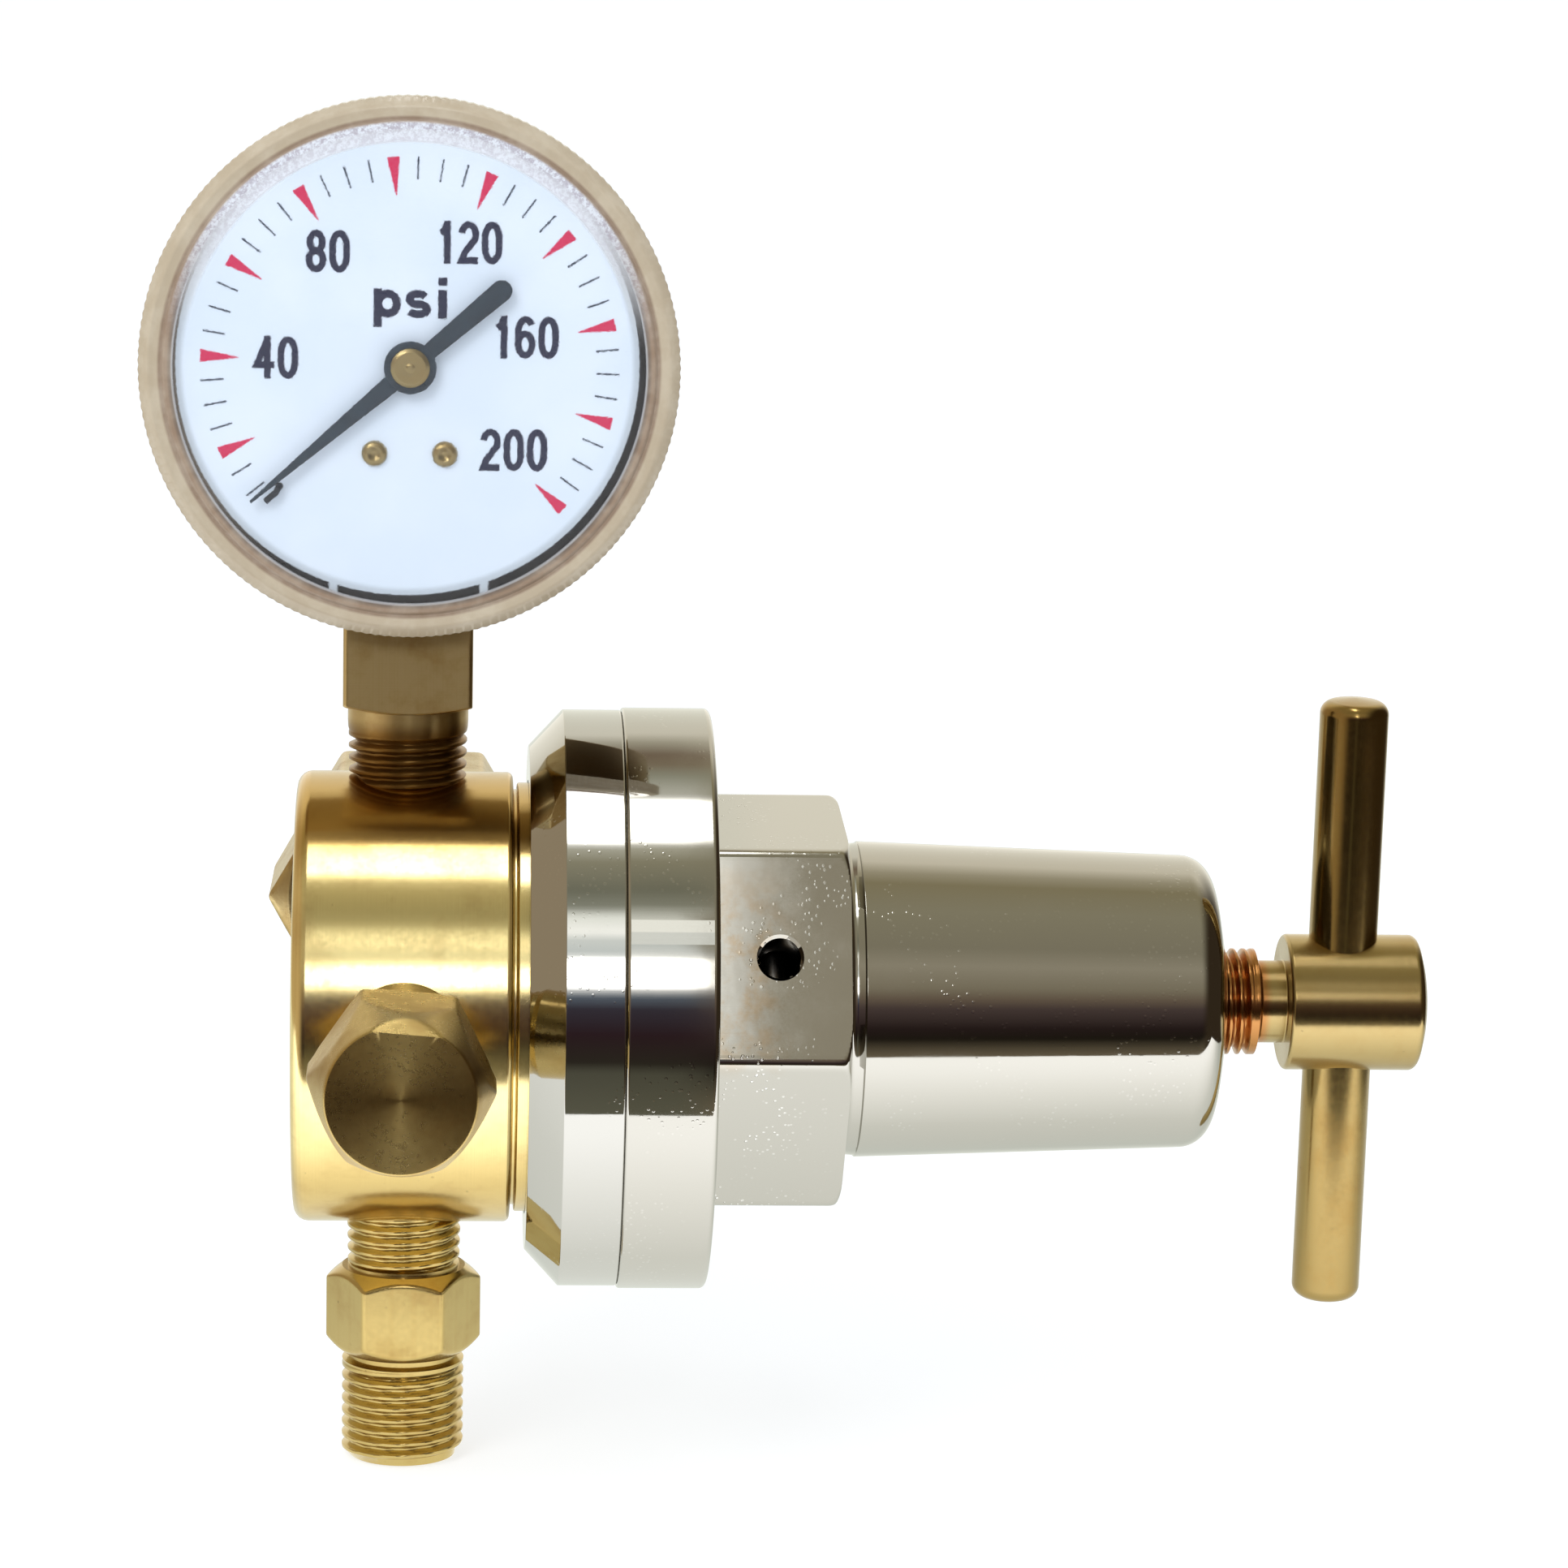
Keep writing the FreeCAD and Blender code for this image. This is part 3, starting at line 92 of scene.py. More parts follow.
CAP_LOW, CAP_HIGH = box_mm("pointer_cap")
DIAL_SCREWS_LOW, DIAL_SCREWS_HIGH = box_mm("dial_screws")

AXIS_Z = (BODY_LOW.z + BODY_HIGH.z) / 2
CENTRE = Vector((0, 0, AXIS_Z))
GAUGE_Z = (LENS_LOW.z + LENS_HIGH.z) / 2
DIAL_CENTRE = Vector((0, 0, GAUGE_Z))
BAR_X = (BAR_LOW.x + BAR_HIGH.x) / 2
FLOOR_Z = min(cad_box[0][2] / MM, OUTLET_LOW.z)
HEX_START = BONNET_LOW.x + 10.3  # end of the bonnet's flange
PIPE_PITCH = 1.41  # 18 threads to the inch


# Skins of turned and milled pieces


def stand(origin, along, zero):
    """Place of a skin drawn along local +Z, with its angle 0 towards zero."""
    side = along.cross(zero)
    return Matrix.Translation(origin) @ Matrix((zero, side, along)).transposed().to_4x4()


ORIGIN = Vector((0, 0, 0))
BONNET_AXIS = stand(CENTRE, ALONG_X, ALONG_Z)
OUTLET_AXIS = stand(ORIGIN, ALONG_Z, ALONG_X)
INLET_AXIS = stand(CENTRE, ALONG_Y, ALONG_Z)
PLUG_AXIS = stand(CENTRE, -ALONG_Y, ALONG_Z)
GAUGE_AXIS = stand(DIAL_CENTRE, ALONG_Y, ALONG_Z)


def rounded(points, steps=5):
    """Outline of (along, radius) corners; a corner's third number rounds it to about that radius."""
    outline = []
    for i, point in enumerate(points):
        if len(point) == 2 or i in (0, len(points) - 1):
            outline.append(tuple(point[:2]))
            continue
        before, corner, after = (Vector(points[j][:2]) for j in (i - 1, i, i + 1))
        back = before - corner
        onward = after - corner
        half = back.angle(onward) / 2
        reach = min(point[2] / tan(half), back.length / 2, onward.length / 2)
        radius = reach * tan(half)
        middle = corner + (back.normalized() + onward.normalized()).normalized() * (radius / sin(half))
        start = corner + back.normalized() * reach - middle
        end = corner + onward.normalized() * reach - middle
        for k in range(steps + 1):
            outline.append(tuple(middle + start.slerp(end, k / steps).normalized() * radius))
    return outline


def even_angles(count):
    return [tau * k / count for k in range(count)]


def hex_angles(turn, per_side=28):
    """Angles round a hexagon, crowded towards its corners."""
    angles = []
    for side in range(6):
        for k in range(per_side):
            share = sin(pi / 2 * (2 * k / per_side - 1))
            angles.append(turn + pi / 3 * side + pi / 6 * share)
    return angles


def soft_min(a, b, blend):
    """The smaller of two lengths, with the crease between them rounded over a length."""
    overlap = max(blend - abs(a - b), 0) / blend
    return min(a, b) - overlap * overlap * blend / 4


def hexagonal(flats, turn, edge=0.5):
    """Radius of a hexagonal bar with softened corners, held inside the outline's own radius."""

    def radius_at(along, radius, angle):
        off = abs((angle - turn + pi / 6) % (pi / 3) - pi / 6)
        side = soft_min(flats / 2 / cos(off), flats / 2 / cos(pi / 3 - off), edge)
        return soft_min(radius, side, edge / 2)

    return radius_at


def chamfered(low, high, chamfer, end_r, corner_r, steps=8):
    """Stations of a hexagonal bar whose two ends are turned down at a slope."""
    rise = corner_r - end_r
    start = [(low + chamfer * k / steps, end_r + rise * k / steps) for k in range(steps + 1)]
    return start + [(low + high - along, radius) for along, radius in reversed(start)]


def helical(root, pitch, crest_share=0.22, root_share=0.16, run_in=None, run_out=None):
    """Radius of a right-hand thread between the outline's own radius and a root radius."""
    flank = (1 - crest_share - root_share) / 2

    def radius_at(along, crest, angle):
        phase = (along / pitch - angle / tau) % 1
        off = abs(phase - 0.5)
        depth = min(max((off - crest_share / 2) / flank, 0), 1)
        depth = depth * depth * (3 - 2 * depth) * 0.5 + depth * 0.5
        if run_in is not None:
            depth *= min(max((along - run_in) / pitch, 0), 1)
        if run_out is not None:
            depth *= min(max((run_out - along) / pitch, 0), 1)
        return crest - (crest - min(root, crest)) * depth

    return radius_at


def shaped(outline, shape):
    """Outline whose radius is worked out by shape at each angle."""
    return [(along, radius, shape) for along, radius in outline]


def thread_outline(start, end, radius, pitch, radius_end=None, per_pitch=14):
    """Closely spaced stations for a thread; the crest radius may taper to radius_end."""
    radius_end = radius if radius_end is None else radius_end
    count = max(2, round((end - start) / pitch * per_pitch))
    stations = []
    for k in range(count + 1):
        share = k / count
        stations.append((start + (end - start) * share, radius + (radius_end - radius) * share))
    return stations


def new_object(name, mesh):
    thing = bpy.data.objects.new(name, mesh)
    bpy.context.scene.collection.objects.link(thing)
    return thing


def soften(thing, crease=32):
    """Smooth shading that keeps flat faces flat and edges sharper than crease degrees."""
    thing.data.shade_smooth()
    thing.data.set_sharp_from_angle(angle=radians(crease))
    normals = thing.modifiers.new("face normals", "WEIGHTED_NORMAL")
    normals.keep_sharp = True
    normals.weight = 100
    return thing


def turned(name, outline, place, angles=None, closed=False, crease=32):
    """Skin swept round a place's axis from (along, radius) or (along, radius, shape) stations."""
    angles = angles or even_angles(144)
    skin = bmesh.new()
    rings = []
    for station in outline:
        along, radius = station[:2]
        ring = []
        for angle in angles:
            reach = station[2](along, radius, angle) if len(station) == 3 else radius
            spot = place @ Vector((reach * cos(angle), reach * sin(angle), along))
            ring.append(skin.verts.new(spot * MM))
        rings.append(ring)
    count = len(angles)
    pairs = list(zip(rings, rings[1:]))
    if closed:
        pairs.append((rings[-1], rings[0]))
    for low, high in pairs:
        for k in range(count):
            after = (k + 1) % count
            skin.faces.new((low[k], low[after], high[after], high[k]))
    bmesh.ops.remove_doubles(skin, verts=skin.verts, dist=1e-7)
    bmesh.ops.dissolve_degenerate(skin, edges=skin.edges, dist=1e-8)
    bmesh.ops.recalc_face_normals(skin, faces=skin.faces)
    mesh = bpy.data.meshes.new(name)
    skin.to_mesh(mesh)
    skin.free()
    return soften(new_object(name, mesh), crease)


def cut_away(thing, cutter, facing):
    """Removes a cutter's volume from a piece; the flat it was cut in looks along facing and stays flat."""
    cut = thing.modifiers.new("cut", "BOOLEAN")
    cut.object = cutter
    cut.solver = "EXACT"
    bpy.context.view_layer.objects.active = thing
    while thing.modifiers[0] != cut:
        bpy.ops.object.modifier_move_up(modifier=cut.name)
    bpy.ops.object.modifier_apply(modifier=cut.name)
    bpy.data.objects.remove(cutter)
    thing.data.set_sharp_from_angle(angle=radians(28))
    for face in thing.data.polygons:
        if face.normal.angle(facing, pi) < radians(2):
            face.use_smooth = False


def prism(name, corners, y_front, y_back, bevel=0.0):
    """Flat piece facing the viewer from (x, z) corners, anticlockwise, with its front edge bevelled."""
    shell = bmesh.new()
    front = [shell.verts.new(Vector((x, y_front, z)) * MM) for x, z in corners]
    face = shell.faces.new(front)
    pushed = bmesh.ops.extrude_face_region(shell, geom=[face])
    back = [item for item in pushed["geom"] if isinstance(item, bmesh.types.BMVert)]
    bmesh.ops.translate(shell, verts=back, vec=Vector((0, (y_back - y_front) * MM, 0)))
    if bevel:
        rim = [edge for edge in shell.edges if all(v.co.y < (y_front + 0.01) * MM for v in edge.verts)]
        bmesh.ops.bevel(shell, geom=rim, offset=bevel * MM, segments=2, affect="EDGES", clamp_overlap=True)
    bmesh.ops.recalc_face_normals(shell, faces=shell.faces)
    mesh = bpy.data.meshes.new(name)
    shell.to_mesh(mesh)
    shell.free()
    return soften(new_object(name, mesh))


# Finishes: noise scales are per millimetre, and a range beside a noise or a cell is given in the call


def colour(code):
    """Linear colour of an sRGB code such as "C2C0B2"."""
    channels = [int(code[i : i + 2], 16) / 255 for i in (0, 2, 4)]
    return tuple(c / 12.92 if c <= 0.04045 else ((c + 0.055) / 1.055) ** 2.4 for c in channels) + (1.0,)


class Tree:
    """Short calls that build a node tree; a value may be a socket, a number, a vector or a colour code."""

    def __init__(self, tree):
        self.tree = tree

    def node(self, kind, settings=None, **values):
        made = self.tree.nodes.new(kind)
        for key, value in (settings or {}).items():
            setattr(made, key, value)
        for key, value in values.items():
            self.put(made.inputs[key.replace("_", " ")], value)
        return made

    def put(self, socket, value):
        """Links a socket to another one, or sets it to a number, a vector or a colour code."""
        if isinstance(value, bpy.types.NodeSocket):
            self.tree.links.new(value, socket)
        else:
            socket.default_value = colour(value) if isinstance(value, str) else value

    def math(self, operation, *values):
        made = self.node("ShaderNodeMath", {"operation": operation})
        for socket, value in zip(made.inputs, values):
            self.put(socket, value)
        return made.outputs[0]

    def plus(self, a, b):
        return self.math("ADD", a, b)

    def minus(self, a, b):
        return self.math("SUBTRACT", a, b)

    def times(self, a, b):
        return self.math("MULTIPLY", a, b)

    def xyz(self, vector):
        return self.node("ShaderNodeSeparateXYZ", Vector=vector).outputs

    def vector(self, operation, *values, output="Vector"):
        made = self.node("ShaderNodeVectorMath", {"operation": operation})
        for socket, value in zip(made.inputs, values):
            self.put(socket, value)
        return made.outputs[output]

    def span(self, value, low, high, to_low=0.0, to_high=1.0):
        """A value stretched from one range to another and held inside it."""
        made = self.node("ShaderNodeMapRange", {"interpolation_type": "SMOOTHSTEP"})
        for key, number in (
            ("Value", value), ("From Min", low), ("From Max", high), ("To Min", to_low),
            ("To Max", to_high),
        ):
            self.put(made.inputs[key], number)
        return made.outputs["Result"]

    def mix(self, share, first, second):
        made = self.node("ShaderNodeMix", {"data_type": "RGBA"})
        self.put(made.inputs["Factor"], share)
        self.put(made.inputs[6], first)
        self.put(made.inputs[7], second)
        return made.outputs[2]

    def ramp(self, value, stops):
        """Colour looked up along stops of (position, colour code)."""
        made = self.node("ShaderNodeValToRGB", Fac=value)
        steps = made.color_ramp.elements
        while len(steps) < len(stops):
            steps.new(1.0)
        for step, (position, code) in zip(steps, sorted(stops)):
            step.position = position
            step.color = colour(code)
        return made.outputs["Color"]

    def noise(self, place, scale, detail=3.0, roughness=0.5, dimensions="3D"):
        made = self.node("ShaderNodeTexNoise", {"noise_dimensions": dimensions})
        self.put(made.inputs["W" if dimensions == "1D" else "Vector"], place)
        made.inputs["Scale"].default_value = scale
        made.inputs["Detail"].default_value = detail
        made.inputs["Roughness"].default_value = roughness
        return made.outputs["Fac"]

    def cells(self, place, scale):
        """Distance to the nearest of scattered points."""
        made = self.node("ShaderNodeTexVoronoi")
        self.put(made.inputs["Vector"], place)
        made.inputs["Scale"].default_value = scale
        return made.outputs["Distance"]

    def bump(self, height, depth, normal=None):
        """Normal of a surface raised by height times depth millimetres."""
        made = self.node("ShaderNodeBump", Height=height)
        made.inputs["Strength"].default_value = 1.0
        made.inputs["Distance"].default_value = depth * MM
        if normal is not None:
            self.put(made.inputs["Normal"], normal)
        return made.outputs["Normal"]


class Finish(Tree):
    """A surface finish: a Principled shader and the place on the piece in millimetres."""

    def __init__(self, name):
        self.material = bpy.data.materials.new(name)
        self.material.use_nodes = True
        super().__init__(self.material.node_tree)
        self.shader = self.tree.nodes["Principled BSDF"]
        self.place = self.vector(
            "MULTIPLY", self.node("ShaderNodeTexCoord").outputs["Object"], (1 / MM, 1 / MM, 1 / MM)
        )

    def set(self, **values):
        for key, value in values.items():
            self.put(self.shader.inputs[key.replace("_", " ")], value)

    def lathe_marks(self, origin, along):
        """Fine rings round an axis: one height that varies along it and across its faces."""
        offset = self.vector("SUBTRACT", self.place, tuple(origin))
        distance = self.vector("DOT_PRODUCT", offset, tuple(along), output="Value")
        across = self.vector("CROSS_PRODUCT", offset, tuple(along))
        radius = self.vector("LENGTH", across, output="Value")
        marks = self.noise(distance, 9.0, 4.0, 0.7, "1D")
        rings = self.noise(radius, 9.0, 4.0, 0.7, "1D")
        return self.plus(marks, rings)

    def turned_gloss(self, axis, amount):
        """Highlights drawn out across the turning marks of an axis."""
        tangent = self.node("ShaderNodeTangent", {"direction_type": "RADIAL", "axis": axis})
        self.set(Anisotropic=amount, Anisotropic_Rotation=0.25, Tangent=tangent.outputs["Tangent"])


def axis_letter(along):
    return "XYZ"[max(range(3), key=lambda i: abs(along[i]))]


def brass(name, tone, origin, along, roughness=0.2, marks=0.003, tarnish=0.3, spots=0.5, drawn=0.7):
    """Turned brass: fine rings round its axis, a blotchy warm tarnish and small dark spots.

    The tone is a colour code or a function that works one out from a place on the piece; marks is the depth of
    the rings in millimetres, and drawn is how far highlights are drawn out across them.
    """
    look = Finish(name)
    rings = look.lathe_marks(origin, along)
    blotches = look.noise(look.place, 0.16, 5.0, 0.6)
    grain = look.noise(look.place, 1.6, 4.0, 0.55)
    specks = look.cells(look.vector("ADD", look.place, (31.0, 7.0, 3.0)), 0.55)
    speck = look.times(look.span(specks, 0.15, 0.07), look.span(grain, 0.55, 0.62))
    stain = look.times(look.span(blotches, 0.45, 0.72), tarnish)
    clean = tone(look) if callable(tone) else tone
    warm = look.mix(stain, clean, "9C7434")
    tone_lines = look.times(look.span(rings, 0.85, 1.2), 0.10)
    lined = look.mix(tone_lines, warm, "B08A44")
    base = look.mix(look.times(speck, spots), lined, "4A3416")
    rough = look.plus(look.times(look.minus(grain, 0.5), 0.12), roughness)
    rough = look.plus(rough, look.times(stain, 0.12))
    normal = look.bump(rings, marks, look.bump(grain, 0.0012))
    look.set(Base_Color=base, Metallic=1.0, Roughness=rough, Normal=normal)
    look.turned_gloss(axis_letter(along), drawn)
    return look.material


def body_painted_shade(look):
    """Brass tone by height: pale gold around the middle and a deeper gold towards the top. The deeper gold
    towards the underside is painted shade for the dark reflections of the outlet and the shade beneath.
    """
    z = look.xyz(look.place)["Z"]
    # Painted shade: the underside turns a deeper gold.
    lower = look.mix(look.span(z, AXIS_Z - 8, AXIS_Z - 19), "F6E2A4", "D2B878")
    return look.mix(look.span(z, AXIS_Z + 16, AXIS_Z + 22), lower, "C4A462")


def shaded_stem(look):
    """Gauge stem: olive brass above and dark brown in its thread."""
    z = look.xyz(look.place)["Z"]
    return look.mix(look.span(z, AXIS_Z + 33.5, AXIS_Z + 31.5), "CDB684", "8A6A3C")


def along_bonnet(before, after, border):
    """Tone of a piece that changes colour at one place along the bonnet's axis."""

    def tone(look):
        x = look.xyz(look.place)["X"]
        return look.mix(look.span(x, border - 0.6, border + 0.6), before, after)

    return tone


def plating(name, tone, roughness=0.05, ripple=0.006, pits=0.4, rust=0.0):
    """Nickel plate: almost a mirror, with a faint ripple, scratches, bright pits and some rust."""
    look = Finish(name)
    waves = look.noise(look.place, 0.12, 3.0, 0.5)
    grain = look.noise(look.place, 3.0, 4.0, 0.6)
    along_x = look.vector("MULTIPLY", look.place, (0.02, 1.0, 1.0))
    scratches = look.noise(along_x, 5.0, 4.0, 0.7)
    points = look.cells(look.place, 1.3)
    clusters = look.noise(look.vector("ADD", look.place, (5.0, 11.0, 3.0)), 0.11, 2.0, 0.5)
    parts = look.xyz(look.place)
    milled = look.times(
        look.span(parts["X"], HEX_START + 11, HEX_START + 4),
        look.span(parts["X"], HEX_START - 0.5, HEX_START + 1),
    )
    worn = look.times(look.span(clusters, 0.50, 0.64), look.plus(look.times(milled, 0.9), 0.1))
    pit = look.times(look.span(points, 0.26, 0.16), worn)
    facing = look.times(look.span(parts["Y"], -14.0, -19.0), look.span(parts["Z"], AXIS_Z - 5, AXIS_Z))
    facing = look.times(milled, facing)
    bloom = look.span(look.noise(look.place, 0.28, 4.0, 0.6), 0.42, 0.66)
    bloom = look.times(bloom, look.times(facing, rust))
    plate = look.mix(bloom, tone, "A98A5C")
    base = look.mix(look.times(pit, pits), plate, "FFFFFF")
    smudge = look.times(look.span(waves, 0.45, 0.75), 0.04)
    rough = look.plus(look.times(look.minus(grain, 0.5), 0.04), roughness)
    rough = look.plus(rough, look.plus(smudge, look.times(pit, 0.45)))
    normal = look.bump(waves, ripple)
    normal = look.bump(scratches, 0.0005, normal)
    normal = look.bump(pit, 0.05, normal)
    look.set(Base_Color=base, Metallic=1.0, Roughness=rough, Normal=normal)
    return look.material


def steel(name, tone, roughness):
    """Ground or drawn steel with a faint grain."""
    look = Finish(name)
    grain = look.noise(look.place, 4.0, 4.0, 0.6)
    stain = look.span(look.noise(look.place, 0.5, 3.0), 0.5, 0.8)
    base = look.mix(look.times(stain, 0.4), tone, "4A443C")
    rough = look.plus(look.times(grain, 0.12), roughness)
    look.set(Base_Color=base, Metallic=1.0, Roughness=rough, Normal=look.bump(grain, 0.003))
    return look.material


def plastic(name, tone, shade, roughness, grain_scale=1.5, depth=0.01):
    """Moulded nylon, rubber or paint with a mottled tone and a fine grain."""
    look = Finish(name)
    mottle = look.span(look.noise(look.place, grain_scale * 0.3, 4.0), 0.35, 0.7)
    grain = look.noise(look.place, grain_scale * 4, 4.0, 0.6)
    base = look.mix(mottle, tone, shade)
    rough = look.plus(look.times(grain, 0.15), roughness)
    look.set(Base_Color=base, Roughness=rough, Normal=look.bump(grain, depth))
    return look.material


def sintered_bronze(name):
    """Filter of small fused bronze balls, darker between them: painted shade for the pores."""
    look = Finish(name)
    balls = look.cells(look.place, 3.0)
    # Painted shade: the colour darkens between the balls.
    base = look.mix(look.span(balls, 0.1, 0.5), "B98A4A", "3B2812")
    look.set(Base_Color=base, Metallic=1.0, Roughness=0.5, Normal=look.bump(balls, -0.15))
    return look.material


def dial_offset(look):
    """Distance from the dial's centre and how far right and up a place on it lies, in millimetres."""
    parts = look.xyz(look.place)
    up = look.minus(parts["Z"], GAUGE_Z)
    squares = look.plus(look.math("POWER", parts["X"], 2.0), look.math("POWER", up, 2.0))
    return look.math("SQRT", squares), parts["X"], up


def dial_paint(name):
    """Bluish white enamel with faint dust; outside an offset circle a painted shadow stands for the shaded
    space between the dial and the case, widest at the lower right.
    """
    look = Finish(name)
    cloud = look.span(look.noise(look.place, 0.08, 3.0), 0.3, 0.7)
    dust = look.span(look.cells(look.place, 1.1), 0.06, 0.02)
    base = look.mix(cloud, "E2EAEE", "EAF0F3")
    base = look.mix(look.times(dust, 0.35), base, "A9AFB5")
    radius, right, up = dial_offset(look)
    # Painted shadow: past an offset circle the enamel darkens, most towards the lower right, with a greyer
    # band just inside it. Two light tabs at the bottom are left out of it.
    toward = look.plus(look.times(right, 0.78), look.times(up, -0.62))
    edge = look.minus(26.2, look.span(toward, -6.0, 24.0, 0.0, 0.55))
    inside = look.minus(edge, 0.5)
    margin = look.span(look.minus(radius, inside), -0.5, 0.3)
    base = look.mix(look.times(margin, 0.6), base, "AEB4B4")
    painted_gap_shadow = look.span(look.minus(radius, edge), 0.0, 0.12)
    from_tab = look.math("ABSOLUTE", look.minus(look.math("ABSOLUTE", right), 8.5))
    tab = look.times(look.span(from_tab, 0.6, 0.35), look.span(up, 0.0, -10.0))
    shade = look.mix(look.span(toward, -12.0, 4.0), "6E6252", "16130F")
    base = look.mix(look.times(painted_gap_shadow, look.minus(1.0, tab)), base, shade)
    grain = look.noise(look.place, 8.0, 3.0)
    look.set(Base_Color=base, Roughness=0.55, Normal=look.bump(grain, 0.004))
    return look.material


def print_ink(name, tone):
    """Screen-printed ink, slightly uneven."""
    look = Finish(name)
    cover = look.span(look.noise(look.place, 6.0, 4.0, 0.6), 0.62, 0.8)
    base = look.mix(look.times(cover, 0.35), tone, "DDE3EA")
    look.set(Base_Color=base, Roughness=0.5, Normal=look.bump(cover, 0.004))
    return look.material


def clear_plastic(name):
    """Clear moulded window; its thick rim is milky beige, and frosted towards the top."""
    look = Finish(name)
    wear = look.noise(look.place, 2.2, 4.0, 0.6)
    haze = look.span(look.noise(look.place, 0.35, 3.0), 0.5, 0.85)
    radius, _, up = dial_offset(look)
    top = look.times(look.span(radius, 25.0, 25.5), look.span(up, 2.0, 20.0))
    speckle = look.span(look.noise(look.place, 2.4, 3.0, 0.7), 0.38, 0.62)
    rim = look.span(radius, 26.3, 26.7)
    milky = look.math("MAXIMUM", look.times(top, 0.6), look.times(rim, 0.92))
    streak = look.noise(look.vector("MULTIPLY", look.place, (0.3, 1.0, 0.3)), 0.9, 3.0, 0.6)
    tans = [(0.0, "4A3826"), (0.10, "84684A"), (0.36, "7E6345"), (0.46, "AC9B7E"), (1.0, "A8977A")]
    rings = look.ramp(look.span(radius, 26.3, 30.3), tans)
    body = look.mix(look.span(streak, 0.35, 0.75, 0.0, 0.25), rings, "D8CDB8")
    frost = look.mix(speckle, "A9A4AE", "D6DBE2")
    frosted = look.times(top, look.span(radius, 27.6, 27.2))
    body = look.mix(frosted, body, frost)
    rough = look.plus(look.times(haze, 0.04), look.times(milky, 0.2))
    look.set(
        Base_Color=look.mix(milky, "FAFCFF", body),
        Roughness=look.plus(rough, 0.015),
        Transmission_Weight=look.minus(1.0, milky),
        IOR=1.49,
        Normal=look.bump(speckle, 0.004, look.bump(wear, 0.0008)),
    )
    path = look.node("ShaderNodeLightPath").outputs
    passing = look.math("MAXIMUM", path["Is Shadow Ray"], path["Is Diffuse Ray"])
    through = look.node("ShaderNodeBsdfTransparent")
    look.put(through.inputs["Color"], "F6F8FC")
    choice = look.node("ShaderNodeMixShader", Fac=passing)
    look.put(choice.inputs[1], look.shader.outputs["BSDF"])
    look.put(choice.inputs[2], through.outputs["BSDF"])
    output = look.tree.nodes["Material Output"]
    look.put(output.inputs["Surface"], choice.outputs["Shader"])
    return look.material


BAR_CENTRE = Vector((BAR_X, 0, AXIS_Z))
SCREW_TONE = along_bonnet("B27E4C", "B09C6C", SCREW_HIGH.x - 18.6)
FINISHES = {
    "brass_body": brass("turned brass body", body_painted_shade, CENTRE, ALONG_X, 0.18, 0.0015, 0.2, 0.25, 0.45),
    "plated_ring": plating("plated ring", "B5B4AF", 0.03, 0.004, 0.4),
    "plated_bonnet": plating("plated bonnet", "B2B0A9", 0.045, 0.006, 0.8, 0.5),
    "screw_brass": brass("screw brass", SCREW_TONE, CENTRE, ALONG_X, 0.22, 0.001, 0.2),
    "bar_brass": brass("bar brass", "A08A58", BAR_CENTRE, ALONG_Z, 0.17, 0.001, 0.3, 0.4, 0.2),
    "plug_brass": brass("plug brass", "C6AE72", CENTRE, ALONG_Y, 0.28, 0.012, 0.35, 0.25, 0.85),
    "outlet_brass": brass("outlet brass", "C0AA6E", ORIGIN, ALONG_Z, 0.2, 0.002, 0.3, 0.4),
    "socket_brass": brass("socket brass", shaded_stem, ORIGIN, ALONG_Z, 0.38, 0.002, 0.5, 0.15),
    "case_brass": brass("case brass", "A38E6C", DIAL_CENTRE, ALONG_Y, 0.3, 0.002, 0.4, 0.4),
    "nipple_brass": brass("nipple brass", "BFA876", CENTRE, ALONG_Y),
    "nut_brass": brass("nut brass", "C8B484", CENTRE, ALONG_Y, 0.24, 0.004, 0.45, 0.6),
    "plate_brass": brass("plate brass", "E6CB8C", CENTRE, ALONG_X),
    "nozzle_brass": brass("nozzle brass", "EBD090", CENTRE, ALONG_X, 0.18),
    "poppet_brass": brass("poppet brass", "E9CC88", CENTRE, ALONG_X, 0.16),
    "movement_brass": brass("movement brass", "E6CA84", DIAL_CENTRE, ALONG_Y),
    "small_brass": brass("small brass", "A59267", DIAL_CENTRE, ALONG_Y, 0.36, 0.001, 0.3, 0.2, 0.3),
    "tube_bronze": brass("tube bronze", "D3A272", DIAL_CENTRE, ALONG_Y, 0.24),
    "hair_bronze": steel("hair bronze", "B58A4E", 0.25),
    "ball_steel": steel("ball steel", "C9CACC", 0.08),
    "button_steel": steel("button steel", "A8A6A0", 0.3),
    "spring_steel": steel("spring steel", "8C8A86", 0.25),
    "slip_steel": steel("slip steel", "B4B2AC", 0.28),
    "diaphragm_rubber": plastic("diaphragm rubber", "191919", "262524", 0.6),
    "seat_nylon": plastic("seat nylon", "E9E4D4", "D8D0BA", 0.4),
    "gasket_nylon": plastic("gasket nylon", "DAD6C8", "C4BEA9", 0.45),
    "filter_bronze": sintered_bronze("sintered bronze"),
    "lens_clear": clear_plastic("clear window"),
    "dial_white": dial_paint("dial enamel"),
    "pin_dark": plastic("stop wire black", "15171B", "24272D", 0.3, 3.0, 0.004),
    "pointer_dark": plastic("pointer enamel", "2B373F", "222C34", 0.35, 2.0, 0.004),
}
INK_NAVY = print_ink("navy ink", "1A1A38")
INK_RED = print_ink("red ink", "D81E50")
INK_GREY = print_ink("grey ink", "363D4A")


def dress(thing, slot, stands_for=None, body="regulator", ink=None):
    """Gives a piece the finish of a slot, or an ink, puts it on its body and hides the CAD node it stands for.
    """
    thing.data.materials.clear()
    thing.data.materials.append(ink or FINISHES[slot])
    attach(thing, body)
    if stands_for:
        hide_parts(stands_for)


